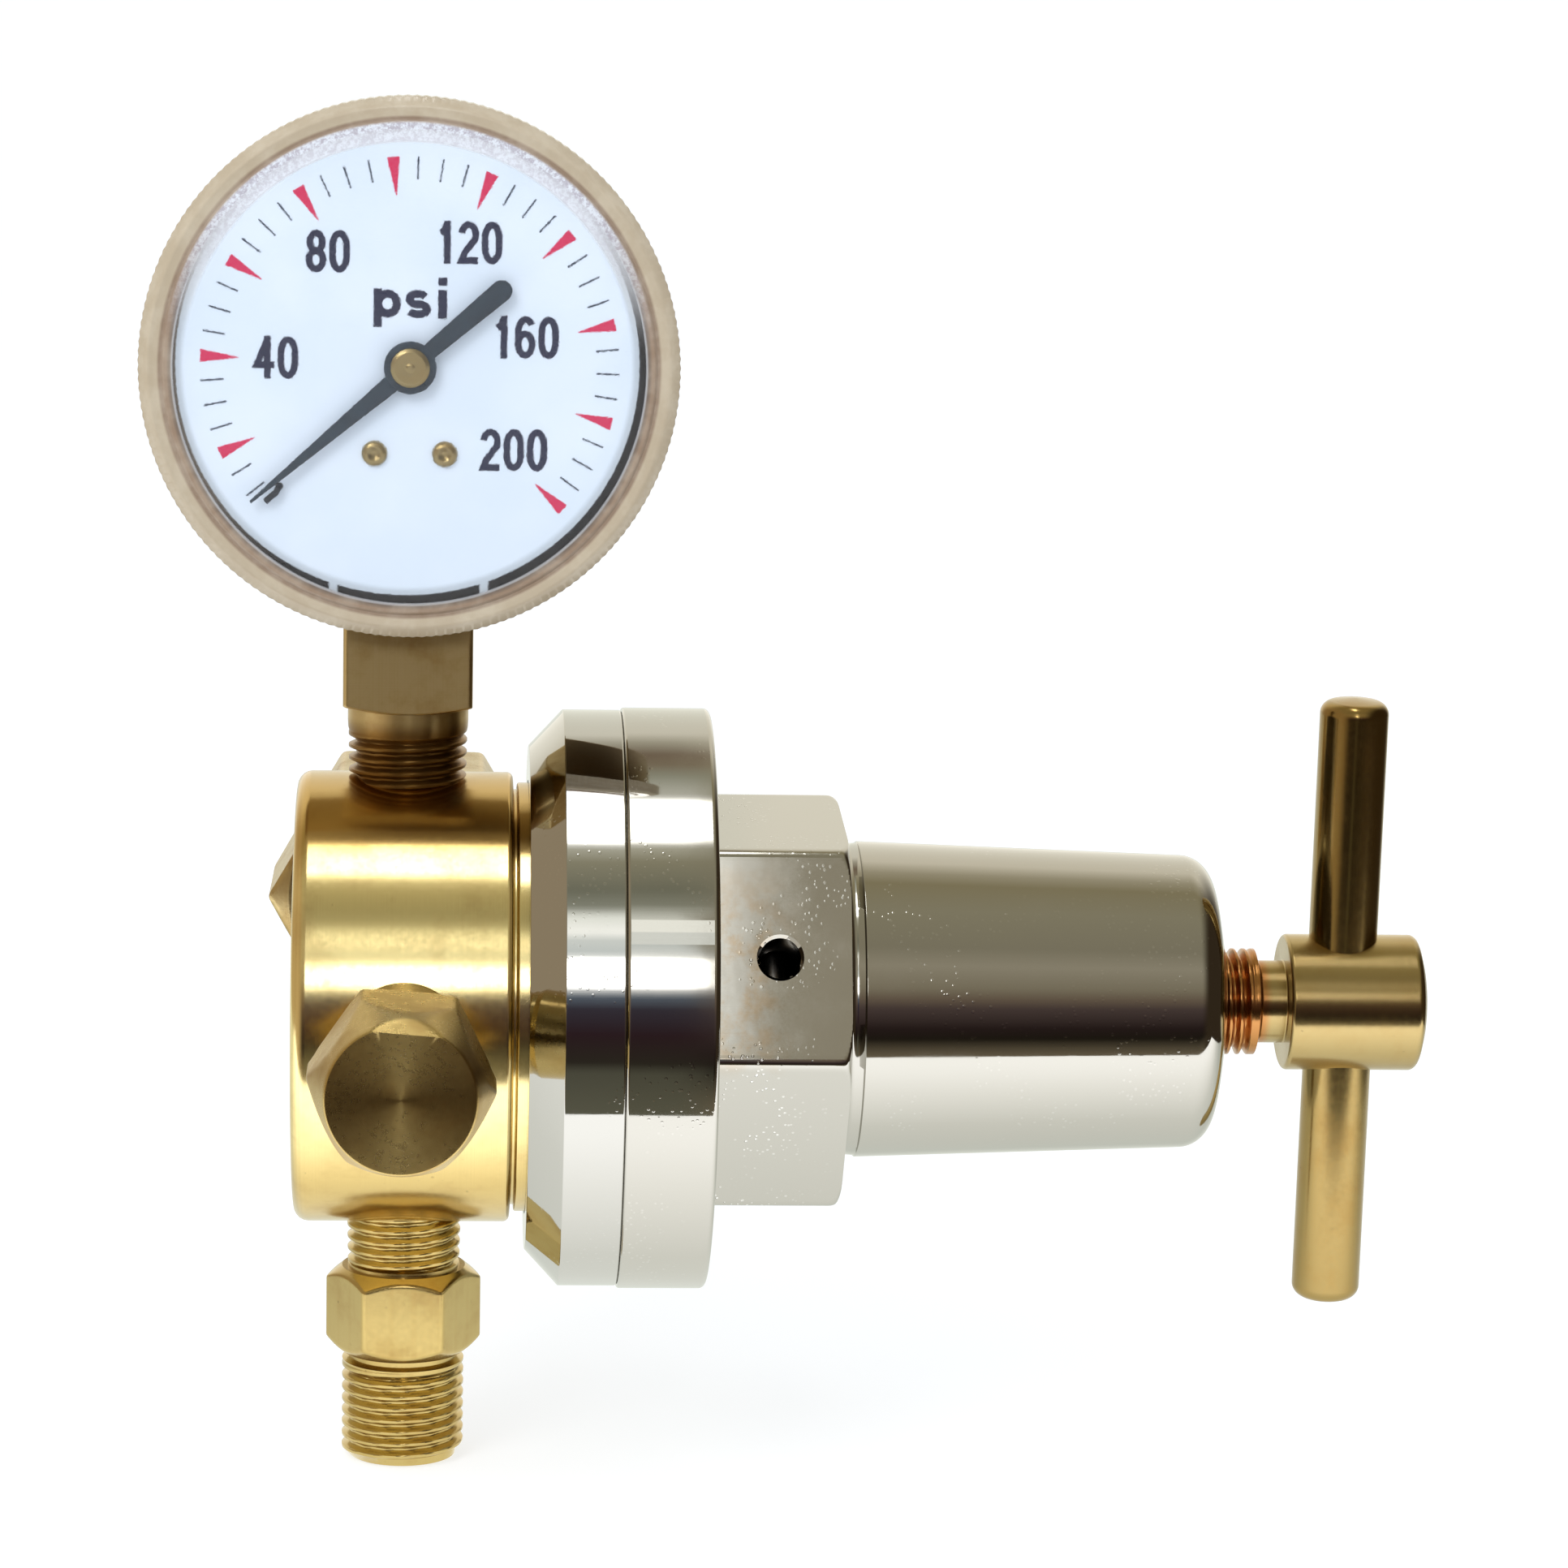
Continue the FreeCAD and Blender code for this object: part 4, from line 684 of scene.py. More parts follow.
def finish_cad_nodes():
    """Every CAD node that stays visible takes the finish of its slot, with smooth round faces."""
    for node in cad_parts.values():
        node.data.shade_smooth()
        node.data.set_sharp_from_angle(angle=radians(30))
        for slot in node.material_slots:
            slot.material = FINISHES[slot.material.name.split(".")[0]]


# Brass body, plated ring and bonnet


def body_skin():
    """Round body with a groove and a flange at the bonnet's end, and a stepped bore for the valve."""
    outer = BODY_HIGH.z - AXIS_Z
    rim = outer - 2.4
    groove = BODY_HIGH.x - 12.2
    flange = BODY_HIGH.x - 6.0
    recess = BODY_HIGH.x - 4.0
    recess_r = 20.0
    nozzle_r = 9.9
    nozzle_foot = 18.6
    thread_r = 8.0
    thread_foot = 7.0
    spring_r = 6.5
    spring_foot = -6.0
    outline = rounded([
        (BODY_LOW.x, 0), (BODY_LOW.x, rim, 1.7), (groove, rim, 0.7), (groove, rim - 2.0, 0.15),
        (groove + 0.5, rim - 2.0, 0.15), (groove + 0.5, rim - 1.2, 0.25), (flange, rim - 1.2),
        (flange, outer), (BODY_HIGH.x, outer), (BODY_HIGH.x, recess_r), (recess, recess_r),
        (recess, nozzle_r), (nozzle_foot, nozzle_r), (nozzle_foot, thread_r),
        (thread_foot, thread_r), (thread_foot, spring_r), (spring_foot, spring_r),
        (spring_foot, 0),
    ])
    skin = turned("body_turned", outline, BONNET_AXIS, even_angles(192))
    dress(skin, "brass_body", "brass_body")


def ring_skin():
    """Ring with a bevelled lip behind the body's flange, the bonnet's flange inside its far edge."""
    outer = RING_HIGH.z - AXIS_Z
    lip = RING_LOW.x + 4.4
    lip_r = outer - 8.3
    inner = outer - 4.9
    seam = BONNET_LOW.x
    step = outer - 2.7
    outline = rounded([
        (RING_LOW.x, lip_r), (RING_LOW.x, outer - 4.2, 0.25), (RING_LOW.x + 3.9, outer, 0.2),
        (seam, outer, 0.3), (seam, step), (RING_HIGH.x, step), (RING_HIGH.x, inner),
        (lip, inner), (lip, lip_r),
    ])
    skin = turned("clamp_ring_turned", outline, BONNET_AXIS, even_angles(192), closed=True)
    dress(skin, "plated_ring", "clamp_ring")


HEX_FLATS = 43.0
HEX_TURN = radians(6.0)  # a flat's normal leans this far forward from straight up


def bonnet_skin():
    """Flange, hexagon, tapered housing and dome in one skin, with the spring's cavity inside."""
    flange = BONNET_HIGH.z - AXIS_Z
    seam = BONNET_LOW.x
    hex_end = HEX_START + 15.6
    housing = hex_end + 1.9
    end = BONNET_HIGH.x
    corner = HEX_FLATS / 2 / cos(pi / 6)
    joint_r = 28.2
    neck_r = 18.1
    cavity_r = 15.0
    bore_r = 6.3
    first = rounded([
        (seam + 1.5, cavity_r), (seam + 1.5, joint_r), (seam + 6.6, joint_r),
        (seam + 6.6, flange - 3.0), (seam, flange - 3.0), (seam, flange, 0.35),
        (HEX_START, flange, 0.7), (HEX_START, corner + 1.0),
    ])
    milled = rounded(
        [
            (HEX_START, corner + 1.0), (HEX_START, corner + 0.3),
            (hex_end - 0.1, corner + 0.3, 2.1), (hex_end, neck_r + 2.5),
        ],
        14,
    )
    last = rounded(
        [
            (hex_end, neck_r + 2.5), (hex_end, neck_r + 0.1, 1.3), (housing - 0.2, neck_r + 0.2),
            (housing, 18.5, 0.2), (end - 1.9, 17.1, 3.6), (end, 8.0, 0.8), (end, bore_r, 0.1),
            (end - 13.5, bore_r), (end - 13.5, cavity_r - 2.0), (end - 15.5, cavity_r),
            (seam + 1.5, cavity_r),
        ],
        10,
    )
    outline = first + shaped(milled, hexagonal(HEX_FLATS, HEX_TURN, 0.9)) + last
    skin = turned("bonnet_machined", outline, BONNET_AXIS, hex_angles(HEX_TURN, 40), crease=28)
    lean = pi / 6 - HEX_TURN
    flat_normal = Vector((0, -cos(lean), sin(lean)))
    vent_axis = stand(CENTRE + ALONG_X * (seam + 17.7), flat_normal, ALONG_X)
    face = HEX_FLATS / 2
    vent_r = 2.35
    drill = [(12.0, 0), (12.0, vent_r), (face - 0.35, vent_r), (face + 1, vent_r + 1.35), (face + 1, 0)]
    vent = turned("vent_cutter", drill, vent_axis, even_angles(48))
    cut_away(skin, vent, flat_normal)
    dress(skin, "plated_bonnet", "bonnet")


# Adjusting screw and T-bar


def screw_skin():
    start = SCREW_LOW.x
    end = SCREW_HIGH.x
    hub = end - 16.3
    hub_r = SCREW_HIGH.z - AXIS_Z
    thread_start = start + 2.0
    thread_end = hub - 3.5
    crest = 6.25
    pitch = 1.27
    cut = helical(5.35, pitch, run_out=thread_end - 0.4)
    outline = [(start, 0), (start, 4.4), (start + 0.6, 5.0), (thread_start, 5.0)]
    outline += shaped(thread_outline(thread_start, thread_end, crest, pitch, per_pitch=12), cut)
    outline += rounded([
        (thread_end, crest, 0.3), (thread_end + 0.4, 4.85, 0.3), (hub, 4.85, 0.2),
        (hub, hub_r, 0.5), (end - 0.7, hub_r, 0.9), (end, hub_r - 2.4, 1.5), (end, 0),
    ])
    skin = turned("screw_turned", outline, BONNET_AXIS, even_angles(96))
    dress(skin, "screw_brass", "adjusting_screw", body="handle")


def bar_skin():
    lean = Vector((0, -sin(radians(3.9)), cos(radians(3.9))))
    place = stand(BAR_CENTRE, lean, ALONG_X)
    half = 36.7
    bar_r = (BAR_HIGH.x - BAR_LOW.x) / 2
    crown = 0.5
    corners = [(-half, 0), (crown - half, bar_r, 1.5), (half - crown, bar_r, 1.5), (half, 0)]
    outline = rounded(corners, 8)
    skin = turned("tee_bar_drawn", outline, place, even_angles(96))
    dress(skin, "bar_brass", "tee_bar", body="handle")


# Front fitting, outlet and inlet


def plug_skin():
    """Hexagonal plug: full corners near the body, tapered to a round turned face."""
    face = -PLUG_LOW.y
    flats = 18.0
    corner = flats / 2 / cos(pi / 6)
    turn = radians(-4.6)
    taper_start = face - 8.3
    hex_start = face - 14.0
    taper_end = face - 0.5
    steps = 26
    milled = [(hex_start, corner * 0.93), (hex_start + 0.8, corner + 0.2)]
    for k in range(steps + 1):
        milled.append(tuple(Vector((taper_start, corner + 0.2)).lerp(Vector((taper_end, 8.35)), k / steps)))
    shank_start = 14.2
    shank_end = 29.0
    outline = [(shank_start, 0)]
    outline += shaped(
        thread_outline(shank_start, shank_end, 6.85, PIPE_PITCH),
        helical(6.3, PIPE_PITCH, run_out=shank_end),
    )
    outline += [(shank_end + 0.6, 7.4), (hex_start, 7.4)]
    milled += rounded([milled[-1], (face, 8.15, 0.3), (face, 6.5)])[1:]
    head = hexagonal(flats, turn, 0.5)

    def filed(along, radius, angle):
        """The hexagon, with a flat filed at a slope across the top of its front edge."""
        height = face - along + 7.2
        slope = height / max(cos(angle - turn), 1e-3)
        return soft_min(head(along, radius, angle), slope, 0.15)

    outline += shaped(milled, filed)
    outline += [(face, 3.0), (face, 0)]
    skin = turned("front_plug_machined", outline, PLUG_AXIS, hex_angles(turn))
    dress(skin, "plug_brass", "front_plug")


def outlet_skin():
    """Outlet fitting: tapered pipe thread in the body, a chamfered hexagon and a straight thread below."""
    low = OUTLET_LOW.z
    high = OUTLET_HIGH.z
    flats = 15.875
    corner = flats / 2 / cos(pi / 6)
    hex_low = 11.7
    hex_high = 21.8
    bar = chamfered(hex_low, hex_high, 1.7, 7.2, corner + 0.2)
    crest = 7.14
    thread_end = 10.6
    outline = [(high, 3.2), (low + 1.7, 3.2), (low, 4.9), (low, 6.2)]
    outline += shaped(
        [(low + 0.9, crest)] + thread_outline(low + 0.95, thread_end, crest, PIPE_PITCH),
        helical(6.35, PIPE_PITCH, run_out=thread_end),
    )
    outline += [(thread_end + 0.3, 6.3), (hex_low, 6.3)]
    outline += shaped(bar, hexagonal(flats, radians(30), 0.5))
    outline += [(hex_high, 6.55), (hex_high + 0.4, 6.5)]
    outline += shaped(thread_outline(hex_high + 0.5, high, 6.55, PIPE_PITCH, 6.9), helical(5.95, PIPE_PITCH))
    outline += [(high, 3.2)]
    skin = turned("outlet_machined", outline, OUTLET_AXIS, hex_angles(radians(30)))
    dress(skin, "outlet_brass", "outlet_fitting")


def nipple_skin():
    """Inlet nipple: pipe thread in the body, a stepped head for the nut and a bored nose."""
    start = NIPPLE_LOW.y
    nose = NIPPLE_HIGH.y
    head_r = NIPPLE_HIGH.x
    head = nose - 8.8
    outline = [(start, 3.0)]
    thread_end = 29.0
    cut = helical(6.3, PIPE_PITCH, run_out=thread_end)
    outline += shaped(thread_outline(start, thread_end, 6.85, PIPE_PITCH), cut)
    outline += rounded([
        (thread_end + 0.6, 6.7), (head, 6.7, 0.3), (head, head_r, 0.3),
        (head + 3.6, head_r, 0.3), (head + 3.6, 7.9, 0.2), (nose, 7.9, 0.3), (nose, 4.2),
        (nose - 3.0, 4.2), (nose - 3.0, 3.0),
    ])
    outline.append((start, 3.0))
    skin = turned("inlet_nipple_turned", outline, INLET_AXIS, even_angles(96))
    dress(skin, "nipple_brass", "inlet_nipple")


def nut_skin():
    """Loose inlet nut: a chamfered hexagon with an internal thread that stops short of the washer."""
    low = NUT_LOW.y
    high = NUT_HIGH.y
    flats = 31.75
    corner = flats / 2 / cos(pi / 6)
    end_r = flats / 2 - 0.6
    pitch = 1.814
    mouth = high - 1.0
    thread_floor = high - 6.6
    major = 10.48
    minor = 9.75

    def inside(along, radius, angle):
        """The crest of an internal thread stands inwards, so its depth is added to the minor radius."""
        return 2 * minor - helical(2 * minor - major, pitch)(along, radius, angle)

    outline = shaped(chamfered(low, high, 1.2, end_r, corner + 0.2), hexagonal(flats, 0, 0.7))
    outline += [(high, end_r - 1.0), (high, major + 0.4), (mouth, major)]
    outline += shaped(list(reversed(thread_outline(thread_floor, mouth, minor, pitch))), inside)
    outline += [(thread_floor - 0.1, major), (low + 4.2, major), (low + 4.2, 6.75), (low, 6.75)]
    skin = turned("inlet_nut_machined", outline, INLET_AXIS, hex_angles(0), closed=True)
    dress(skin, "nut_brass", "inlet_nut", body="inlet_nut")


# Gauge


def rounded_square(width, depth, edge):
    """Radius of a square bar with softened corners, its sides square to the angles 0 and 90."""

    def radius_at(along, radius, angle):
        across = abs(cos(angle))
        forward = abs(sin(angle))
        side_x = width / 2 / max(across, 1e-6)
        side_y = depth / 2 / max(forward, 1e-6)
        return soft_min(radius, soft_min(side_x, side_y, edge), edge / 2)

    return radius_at


def square_angles(count=128):
    """Angles round a square bar, crowded towards its corners."""
    per_side = count // 4
    angles = []
    for side in range(4):
        for k in range(per_side):
            share = sin(pi / 2 * (2 * k / per_side - 1))
            angles.append(pi / 2 * side + pi / 4 * share)
    return angles


def socket_skin():
    """Pipe thread, stem and square of the gauge's socket, with the narrow neck inside the case."""
    place = stand(CENTRE, ALONG_Z, ALONG_X)
    start = SOCKET_LOW.z - AXIS_Z
    stem_r = 6.95
    stem_top = 34.1
    square = 35.1
    top = 44.2
    neck = SOCKET_HIGH.z - AXIS_Z - 12.0
    crest_low = 6.6
    crest_high = 6.85
    corner = 10.6
    pitch = 1.411
    cut = helical(5.95, pitch, run_out=31.6)
    flats = rounded_square(14.8, 14.0, 0.9)
    outline = [(start, 0)]
    outline += shaped(thread_outline(start, 31.5, crest_low, pitch, crest_high), cut)
    outline += [(31.8, stem_r - 0.05), (32.6, stem_r), (stem_top, stem_r)]
    block = [(stem_top + k * 0.1, stem_r + k * 0.35) for k in range(11)]
    block += [(square + 0.2, corner), (top, corner)]
    outline += shaped(block, flats)
    outline += [(top, 6.0), (neck, 5.4), (neck, 0)]
    skin = turned("gauge_stem_machined", outline, place, square_angles())
    dress(skin, "socket_brass", "gauge_socket")


def case_skin():
    """Drawn gauge case: a thin pan with a rounded back edge and a lip turned in at its front."""
    back = CASE_HIGH.y
    front = CASE_LOW.y
    outer = CASE_HIGH.x
    outline = rounded(
        [
            (back, 0), (back, outer, 2.5), (front, outer, 0.3), (front, outer - 2.2, 0.2),
            (front + 0.8, outer - 2.2), (front + 0.8, outer - 0.8), (back - 0.8, outer - 0.8, 1.7),
            (back - 0.8, 0),
        ],
        8,
    )
    skin = turned("gauge_case_drawn", outline, GAUGE_AXIS, even_angles(192))
    dress(skin, "case_brass", "gauge_case")


def window_skin():
    """Clear window: a flat disc, a rounded rim and a skirt over the case's edge."""
    front = LENS_LOW.y
    back = LENS_HIGH.y
    outer = LENS_HIGH.x
    case_r = CASE_HIGH.x
    lip_r = case_r - 2.2
    case_front = CASE_LOW.y

    def serrated(along, radius, angle):
        return radius - 0.10 * (0.5 + 0.5 * cos(angle * 180))

    outline = rounded([(front, 0), (front, outer - 2.9, 0.3), (front + 0.35, outer - 2.6, 0.2)])
    bead = [(front + 0.35, outer - 2.4), (front + 0.1, outer - 1.2, 0.6), (front + 0.7, outer - 0.15)]
    outline += rounded(bead)
    outline += shaped([(front + 0.9, outer), (back - 0.3, outer)], serrated)
    outline += rounded([
        (back, outer - 0.3), (back, case_r + 0.05), (case_front - 0.02, case_r + 0.05),
        (case_front - 0.02, lip_r), (front + 1.4, lip_r, 0.3), (front + 1.4, 0),
    ])
    skin = turned("gauge_window", outline, GAUGE_AXIS, even_angles(720))
    dress(skin, "lens_clear", "gauge_lens")


DIAL_Y = DIAL_LOW.y
PRINT_Y = DIAL_Y - 0.03
INK_LAYER = 0.01
MARK_OUTER = 23.5
FIRST_MARK = 205.2
MARK_STEP = -27.53
MARKS = 9


def dial_point(radius, angle):
    """(x, z) of a point on the dial; angles are anticlockwise from the right, in degrees."""
    return radius * cos(radians(angle)), GAUGE_Z + radius * sin(radians(angle))


def radial_shape(name, outer, inner, outer_w, inner_w, angle, ink):
    """Wedge or tick that points at the dial's centre."""
    across = degrees(outer_w / 2 / outer)
    inward = degrees(inner_w / 2 / inner)
    corners = [dial_point(outer, angle - across), dial_point(outer, angle + across)]
    corners += [dial_point(inner, angle + inward), dial_point(inner, angle - inward)]
    mark = prism(name, corners, PRINT_Y, DIAL_Y)
    dress(mark, "dial_white", ink=ink)


def dial_scale():
    """Red wedges every 20 units, with three thin ticks between them and two before the first."""
    ticks = []
    for i in range(MARKS + 1):
        angle = FIRST_MARK + MARK_STEP * i
        radial_shape(f"dial_wedge_{20 * (i + 1)}", MARK_OUTER, 19.2, 1.44, 0.08, angle, INK_RED)
        if i < MARKS:
            ticks += [angle + MARK_STEP * quarter / 4 for quarter in (1, 2, 3)]
    ticks += [FIRST_MARK - MARK_STEP / 4, FIRST_MARK - MARK_STEP / 2]
    for i, angle in enumerate(ticks):
        radial_shape(f"dial_tick_{i:02d}", MARK_OUTER, 20.95, 0.19, 0.19, angle, INK_GREY)


def arc(x, z, half_width, half_height, start, end, steps=16):
    """Points along part of an oval; angles in degrees, anticlockwise from the right."""
    turns = [radians(start + (end - start) * k / steps) for k in range(steps + 1)]
    return [(x + half_width * cos(a), z + half_height * sin(a)) for a in turns]


# Centre lines of the printed characters: x and z run from -1 to 1 across a character's box
STROKES = {
    "0": [arc(0, 0.25, 1, 0.75, 0, 180) + arc(0, -0.25, 1, 0.75, 180, 360) + [(1, 0.25)]],
    "1": [[(0.3, -1.2), (0.3, 1.2)], [(-0.65, 0.52), (-0.1, 0.66), (0.3, 1.1)]],
    "2": [arc(0, 0.45, 1, 0.55, 172, -30) + [(-0.55, -0.55), (-1, -1.0), (1.35, -1.0)]],
    "4": [[(0.42, 1.2), (0.42, -1.2)], [(0.42, 1.0), (-1.1, -0.42), (1.4, -0.42)]],
    "6": [
        arc(0, -0.4, 1, 0.6, 0, 360),
        arc(0.05, 0.3, 1.05, 0.7, 35, 180) + [(-1, -0.4)],
    ],
    "8": [arc(0, 0.5, 0.88, 0.5, 0, 360), arc(0, -0.48, 1, 0.52, 0, 360)],
    "p": [[(-1, 1.5), (-1, -2.35)], arc(0.05, 0, 1, 1, -180, 180)],
    "s": [arc(0, 0.48, 0.88, 0.52, 28, 262) + arc(0, -0.5, 0.95, 0.5, 82, -155)],
    "i": [[(0, 1.5), (0, -1.5)], [(0, 1.95), (0, 2.8)]],
}


def ribbon(sheet, path, width, level):
    """Flat strip of one width along (x, z) points at one depth, mitred at its bends."""
    spots = [Vector(point) for point in path]
    loop = (spots[0] - spots[-1]).length < 1e-6
    last = len(spots) - 1
    edges = []
    for i, spot in enumerate(spots):
        before = spots[last - 1] if loop and i == 0 else spots[max(i - 1, 0)]
        after = spots[1] if loop and i == last else spots[min(i + 1, last)]
        ways = [way.normalized() for way in (spot - before, after - spot) if way.length > 1e-9]
        along = (ways[0] + ways[-1]).normalized()
        reach = width / 2 / max(along.dot(ways[0]), 0.5)
        side = Vector((-along.y, along.x)) * reach
        pair = [Vector((p.x, level, GAUGE_Z + p.y)) * MM for p in (spot - side, spot + side)]
        edges.append([sheet.verts.new(corner) for corner in pair])
    for (a, b), (c, d) in zip(edges, edges[1:]):
        sheet.faces.new((a, c, d, b))


def dial_text(name, words, x, z, step, box, width):
    """Printed characters on centres a step apart; box is half the size of a character's centre lines."""
    sheet = bmesh.new()
    for i, character in enumerate(words):
        middle = x + (i - (len(words) - 1) / 2) * step
        for layer, stroke in enumerate(STROKES[character]):
            path = [(middle + u * box[0], z + v * box[1]) for u, v in stroke]
            ribbon(sheet, path, width, PRINT_Y - layer * INK_LAYER)
    bmesh.ops.recalc_face_normals(sheet, faces=sheet.faces)
    mesh = bpy.data.meshes.new(name)
    sheet.to_mesh(mesh)
    sheet.free()
    dress(new_object(name, mesh), "dial_white", ink=INK_NAVY)


def dial_figures():
    """Every second mark is numbered; the figures are narrow and bold."""
    for words, x, z in (
        ("40", -15.0, 0.85), ("80", -9.3, 12.8), ("120", 6.4, 14.0), ("160", 12.85, 3.5),
        ("200", 11.7, -9.2),
    ):
        dial_text("dial_figure_" + words, words, x, z, 2.62, (0.78, 2.0), 0.76)
    dial_text("dial_unit_p", "p", -2.65, 7.06, 0, (1.05, 1.12), 0.92)
    dial_text("dial_unit_s", "s", 0.8, 7.06, 0, (1.08, 1.15), 0.88)
    dial_text("dial_unit_i", "i", 3.55, 7.06, 0, (0.8, 1.07), 1.0)


POINTER_ANGLE = 220.8


def pointer_skins():
    """Needle with its rounded tail, and its hub plate, both in dark enamel on the pointer's body."""
    front = POINTER_LOW.y
    back = POINTER_HIGH.y
    tip = 23.5
    tail = 13.4
    corners = [(tip, -0.17), (tip, 0.17), (2.0, 1.05), (-2.0, 0.9), (-tail, 1.2)]
    corners += [(-tail - 1.2 * sin(a), 1.2 * cos(a)) for a in [pi * k / 12 for k in range(1, 12)]]
    corners += [(-tail, -1.2), (-2.0, -0.9), (2.0, -1.05)]
    turn = radians(POINTER_ANGLE)
    placed = [(x * cos(turn) - z * sin(turn), GAUGE_Z + x * sin(turn) + z * cos(turn)) for x, z in corners]
    needle = prism("pointer_needle", placed, front, back, 0.08)
    dress(needle, "pointer_dark", "gauge_pointer", body="pointer")
    hub = [(front - 0.02, 0), (front - 0.02, 2.95, 0.12), (back, 2.95), (back, 0)]
    plate = turned("pointer_hub", rounded(hub), GAUGE_AXIS, even_angles(72))
    dress(plate, "pointer_dark", body="pointer")


def cap_skin():
    """Brass cap on the pointer: almost flat, with a rounded edge and a small raised point in its middle."""
    front = CAP_LOW.y
    back = CAP_HIGH.y
    outer = CAP_HIGH.x
    outline = rounded([
        (front, 0), (front + 0.04, 0.3, 0.1), (front + 0.12, 0.55, 0.1),
        (front + 0.08, outer * 0.8, 0.3), (front + 0.3, outer, 0.15), (back, outer), (back, 0),
    ])
    cap = turned("pointer_cap_turned", outline, GAUGE_AXIS, even_angles(72))
    dress(cap, "small_brass", "pointer_cap", body="pointer")


def dial_screw_skins():
    """Two brass rivet-like screws with a punched dimple in their domed heads."""
    front = DIAL_SCREWS_LOW.y
    outer = 1.45
    offset = DIAL_SCREWS_HIGH.x - outer
    height = (DIAL_SCREWS_LOW.z + DIAL_SCREWS_HIGH.z) / 2
    outline = rounded([
        (front + 0.4, 0), (front + 0.3, 0.35, 0.1), (front, 0.8, 0.25),
        (front + 0.2, outer * 0.9, 0.3), (DIAL_Y, outer), (DIAL_Y, 0.9),
        (DIAL_SCREWS_HIGH.y, 0.9), (DIAL_SCREWS_HIGH.y, 0),
    ])
    for side, name in ((-1, "left"), (1, "right")):
        place = stand(Vector((side * offset, 0, height)), ALONG_Y, ALONG_Z)
        screw = turned("dial_screw_" + name, outline, place, even_angles(48))
        dress(screw, "small_brass", "dial_screws")


def stop_wire():
    """Bent wire that stops the needle: it comes out of the dial and lies beside the needle's tip."""
    x, z = dial_point(20.0, 223.0)
    level = POINTER_HIGH.y + 0.05
    spots = [(x, DIAL_Y + 0.4, z), (x, level, z), (x - 0.3, level, z - 0.6), (x - 1.5, level + 0.1, z - 1.65)]
    path = bpy.data.curves.new("stop_wire_bent", "CURVE")
    path.dimensions = "3D"
    path.bevel_depth = 0.36 * MM
    path.bevel_resolution = 4
    path.use_fill_caps = True
    line = path.splines.new("POLY")
    line.points.add(len(spots) - 1)
    for point, spot in zip(line.points, spots):
        point.co = (*(Vector(spot) * MM), 1.0)
    wire = new_object("stop_wire_bent", path)
    dress(wire, "pin_dark", "stop_pin")


# Camera, light and floor


def photo_camera():
    """Long lens, a little above the bonnet and turned a little to the right."""
    yaw, pitch, roll = 0.0672, 0.1622, 0.0205
    forward = Vector((sin(yaw) * cos(pitch), cos(yaw) * cos(pitch), -sin(pitch)))
    level = Vector((cos(yaw), -sin(yaw), 0))
    upright = level.cross(forward)
    right = level * cos(roll) + upright * sin(roll)
    up = upright * cos(roll) - level * sin(roll)
    lens = bpy.data.cameras.new("camera")
    lens.lens = 116.06
    lens.sensor_width = 36.0
    lens.clip_start = 0.01
    camera = new_object("camera", lens)
    from_centre = Vector((0.0047, -0.5796, 0.1205))
    turned_to = Matrix((right, up, -forward)).transposed().to_4x4()
    camera.matrix_world = Matrix.Translation(CENTRE * MM + from_centre) @ turned_to
    bpy.context.scene.camera = camera


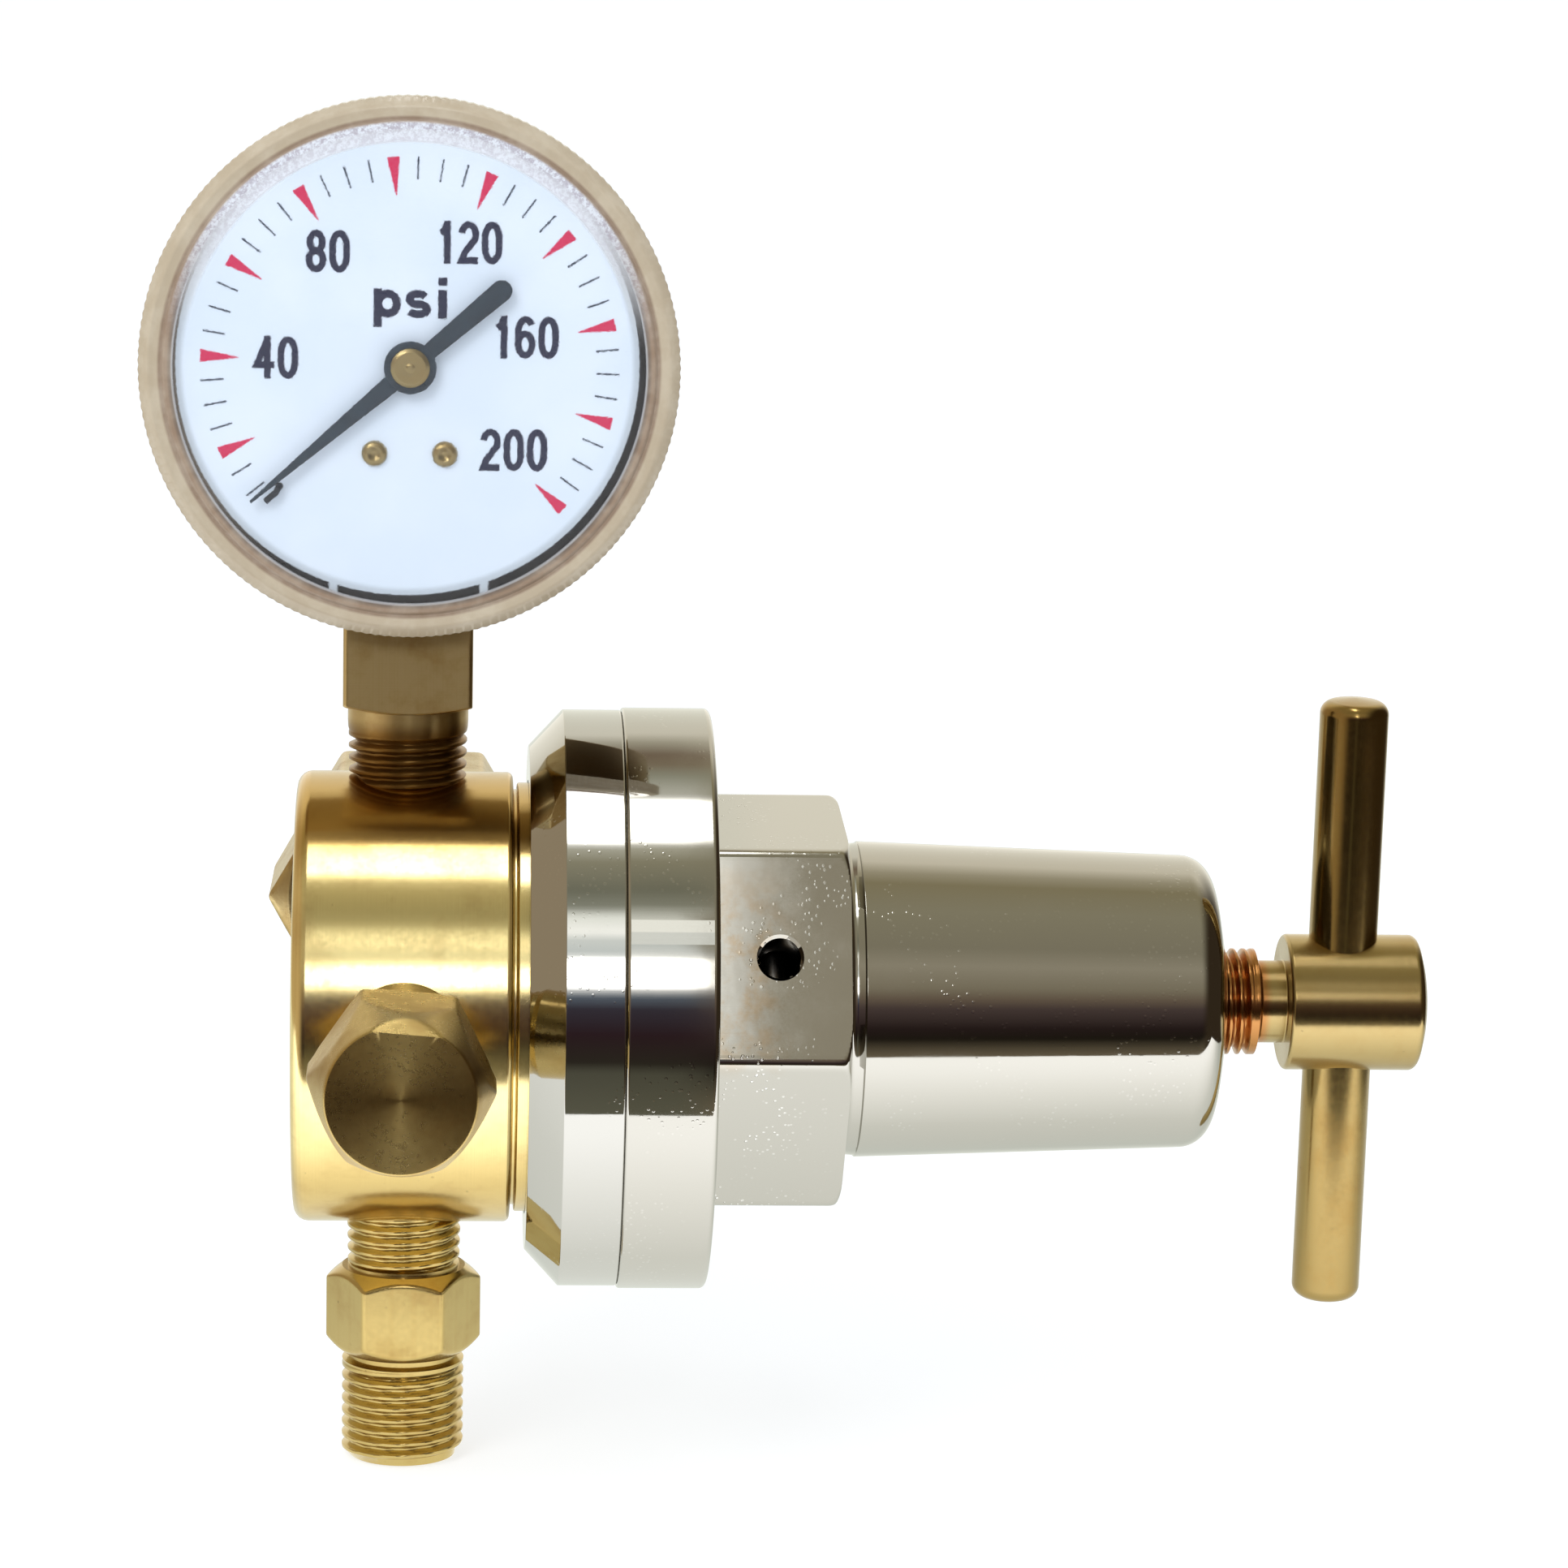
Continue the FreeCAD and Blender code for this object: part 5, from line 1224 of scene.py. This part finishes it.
def studio_world():
    """Room as seen in the plating: bands by height, with two soft boxes that are narrow across X."""
    world = bpy.data.worlds.new("studio")
    world.use_nodes = True
    bpy.context.scene.world = world
    room = Tree(world.node_tree)
    direction = room.node("ShaderNodeTexCoord").outputs["Generated"]
    parts = room.xyz(direction)
    height = room.math("ARCTAN2", parts["Z"], room.times(parts["Y"], -1.0))
    turn = room.plus(room.math("DIVIDE", height, tau), 0.5)

    def bands(*stops):
        return room.ramp(turn, [((angle + 180) / 360, code) for angle, code in stops])

    facing = bands(
        (-180, "B4B6AE"), (-34, "565548"), (-18, "4A493E"), (-14, "2A2620"), (-3, "2A1C20"),
        (7, "332F38"), (12, "555E6A"), (16, "FFFFFF"), (26, "FFFFFF"), (29, "C4CACA"),
        (34, "D0D4D2"), (37, "FBFBF8"), (43, "E4E6E0"), (47, "838478"), (54, "6C6C5E"),
        (66, "85816E"), (72, "A8A698"), (76, "FFFFFF"), (94, "FFFFFF"), (98, "B5B5AC"),
        (109, "8A8A7C"), (116, "776C5B"), (123, "6E6051"), (132, "9A9586"), (140, "C4C0B3"),
        (180, "BDBDB2"),
    )
    beside = bands(
        (-180, "B4B6AE"), (-34, "6A604E"), (-18, "1C1812"), (-10, "241B1A"), (5, "453A38"),
        (12, "62564A"), (20, "787161"), (36, "8B8576"), (50, "7B7666"), (80, "827D6A"),
        (106, "7F775E"), (118, "97907C"), (132, "C2BCAC"), (180, "CCC9BE"),
    )

    def between(start, full, fading, end):
        """1 between two heights in degrees, fading out towards the two outer ones."""
        rise = room.span(height, radians(start), radians(full))
        fall = room.span(height, radians(end), radians(fading))
        return room.times(rise, fall)

    lamps = room.math("MAXIMUM", between(73, 77, 93, 97), between(14, 17, 25, 28))
    sideways = room.span(room.math("ABSOLUTE", parts["X"]), 0.05, 0.066)
    glow = room.times(lamps, room.minus(1.0, sideways))
    strength = room.plus(room.times(glow, 5.0), 2.0)
    left = room.span(parts["X"], -0.35, -0.8)
    right = room.span(parts["X"], 0.35, 0.8)
    tone = room.mix(sideways, facing, beside)
    tone = room.mix(left, tone, "8A7C66")
    tone = room.mix(right, tone, "30271C")
    path = room.node("ShaderNodeLightPath").outputs
    tone = room.mix(path["Is Diffuse Ray"], tone, "EEF3FA")
    tone = room.mix(path["Is Camera Ray"], tone, (1.0, 1.0, 1.0, 1.0))
    unseen = room.minus(1.0, room.math("MAXIMUM", path["Is Diffuse Ray"], path["Is Camera Ray"]))
    strength = room.plus(1.0, room.times(unseen, room.minus(strength, 1.0)))
    lit = room.node("ShaderNodeBackground", Color=tone, Strength=strength)
    room.put(room.tree.nodes["World Output"].inputs["Surface"], lit.outputs["Background"])


def flat_sheet(name, x0, x1, y0, y1, z):
    """Level rectangle, in metres."""
    mesh = bpy.data.meshes.new(name)
    mesh.from_pydata([(x0, y0, z), (x1, y0, z), (x1, y1, z), (x0, y1, z)], [], [(0, 1, 2, 3)])
    return new_object(name, mesh)


def pale_floor():
    """Wide pale floor that shows soft shadows; it is left out of mirror reflections."""
    reach = 60.0
    floor = flat_sheet("floor", -reach, reach, -reach, reach, FLOOR_Z * MM - 0.0002)
    look = Finish("pale floor")
    cloud = look.noise(look.place, 0.01, 2.0)
    base = look.mix(cloud, "A4A6A8", "ABADAF")
    look.set(Base_Color=base, Roughness=0.9, Emission_Color="FFFFFF", Emission_Strength=0.62)
    floor.data.materials.append(look.material)
    floor.visible_glossy = False


def mirror_sheet():
    """White paper under the part as the plating sees it: it ends a hand's breadth in front. It glows instead
    of being lit, a painted light that is near white at its front edge and dimmer towards the back.
    """
    sheet = flat_sheet("paper_in_reflections", -0.35, 0.27, -0.102, 0.45, FLOOR_Z * MM - 0.0001)
    look = Finish("paper in reflections")
    depth = look.xyz(look.place)["Y"]
    position = look.span(depth, -90.0, 110.0)
    # Painted light: the glow fades from near white in front to grey behind the part.
    tone = look.ramp(
        position,
        [
            (0.0, "FFFFFF"), (0.12, "F0F0EE"), (0.35, "D0D1CC"), (0.7, "B0B3AC"), (1.0, "AEB0A8"),
        ],
    )
    glow = look.node("ShaderNodeEmission", Color=tone, Strength=2.0)
    look.put(look.tree.nodes["Material Output"].inputs["Surface"], glow.outputs["Emission"])
    sheet.data.materials.append(look.material)
    sheet.visible_camera = False
    sheet.visible_diffuse = False
    sheet.visible_shadow = False
    sheet.visible_transmission = False


def soft_lamp(name, place, target, size, power, tone):
    """Square lamp that lights the part but shows neither in mirrors nor to the camera."""
    lamp = bpy.data.lights.new(name, "AREA")
    lamp.shape = "RECTANGLE"
    lamp.size, lamp.size_y = size
    lamp.energy = power
    lamp.color = colour(tone)[:3]
    thing = new_object(name, lamp)
    thing.location = place
    thing.rotation_euler = (Vector(target) - Vector(place)).to_track_quat("-Z", "Y").to_euler()
    thing.visible_glossy = False
    thing.visible_camera = False


finish_cad_nodes()
body_skin()
ring_skin()
bonnet_skin()
screw_skin()
bar_skin()
plug_skin()
outlet_skin()
nipple_skin()
nut_skin()
socket_skin()
case_skin()
window_skin()
dial_scale()
dial_figures()
pointer_skins()
cap_skin()
dial_screw_skins()
stop_wire()

photo_camera()
studio_world()
pale_floor()
mirror_sheet()
target = tuple((Vector(cad_box[0]) + Vector(cad_box[1])) / 2)
soft_lamp("key", (-0.5, -0.9, 0.9), target, (0.6, 0.6), 7.0, "FFFFFF")
bpy.context.scene.view_settings.view_transform = "Standard"
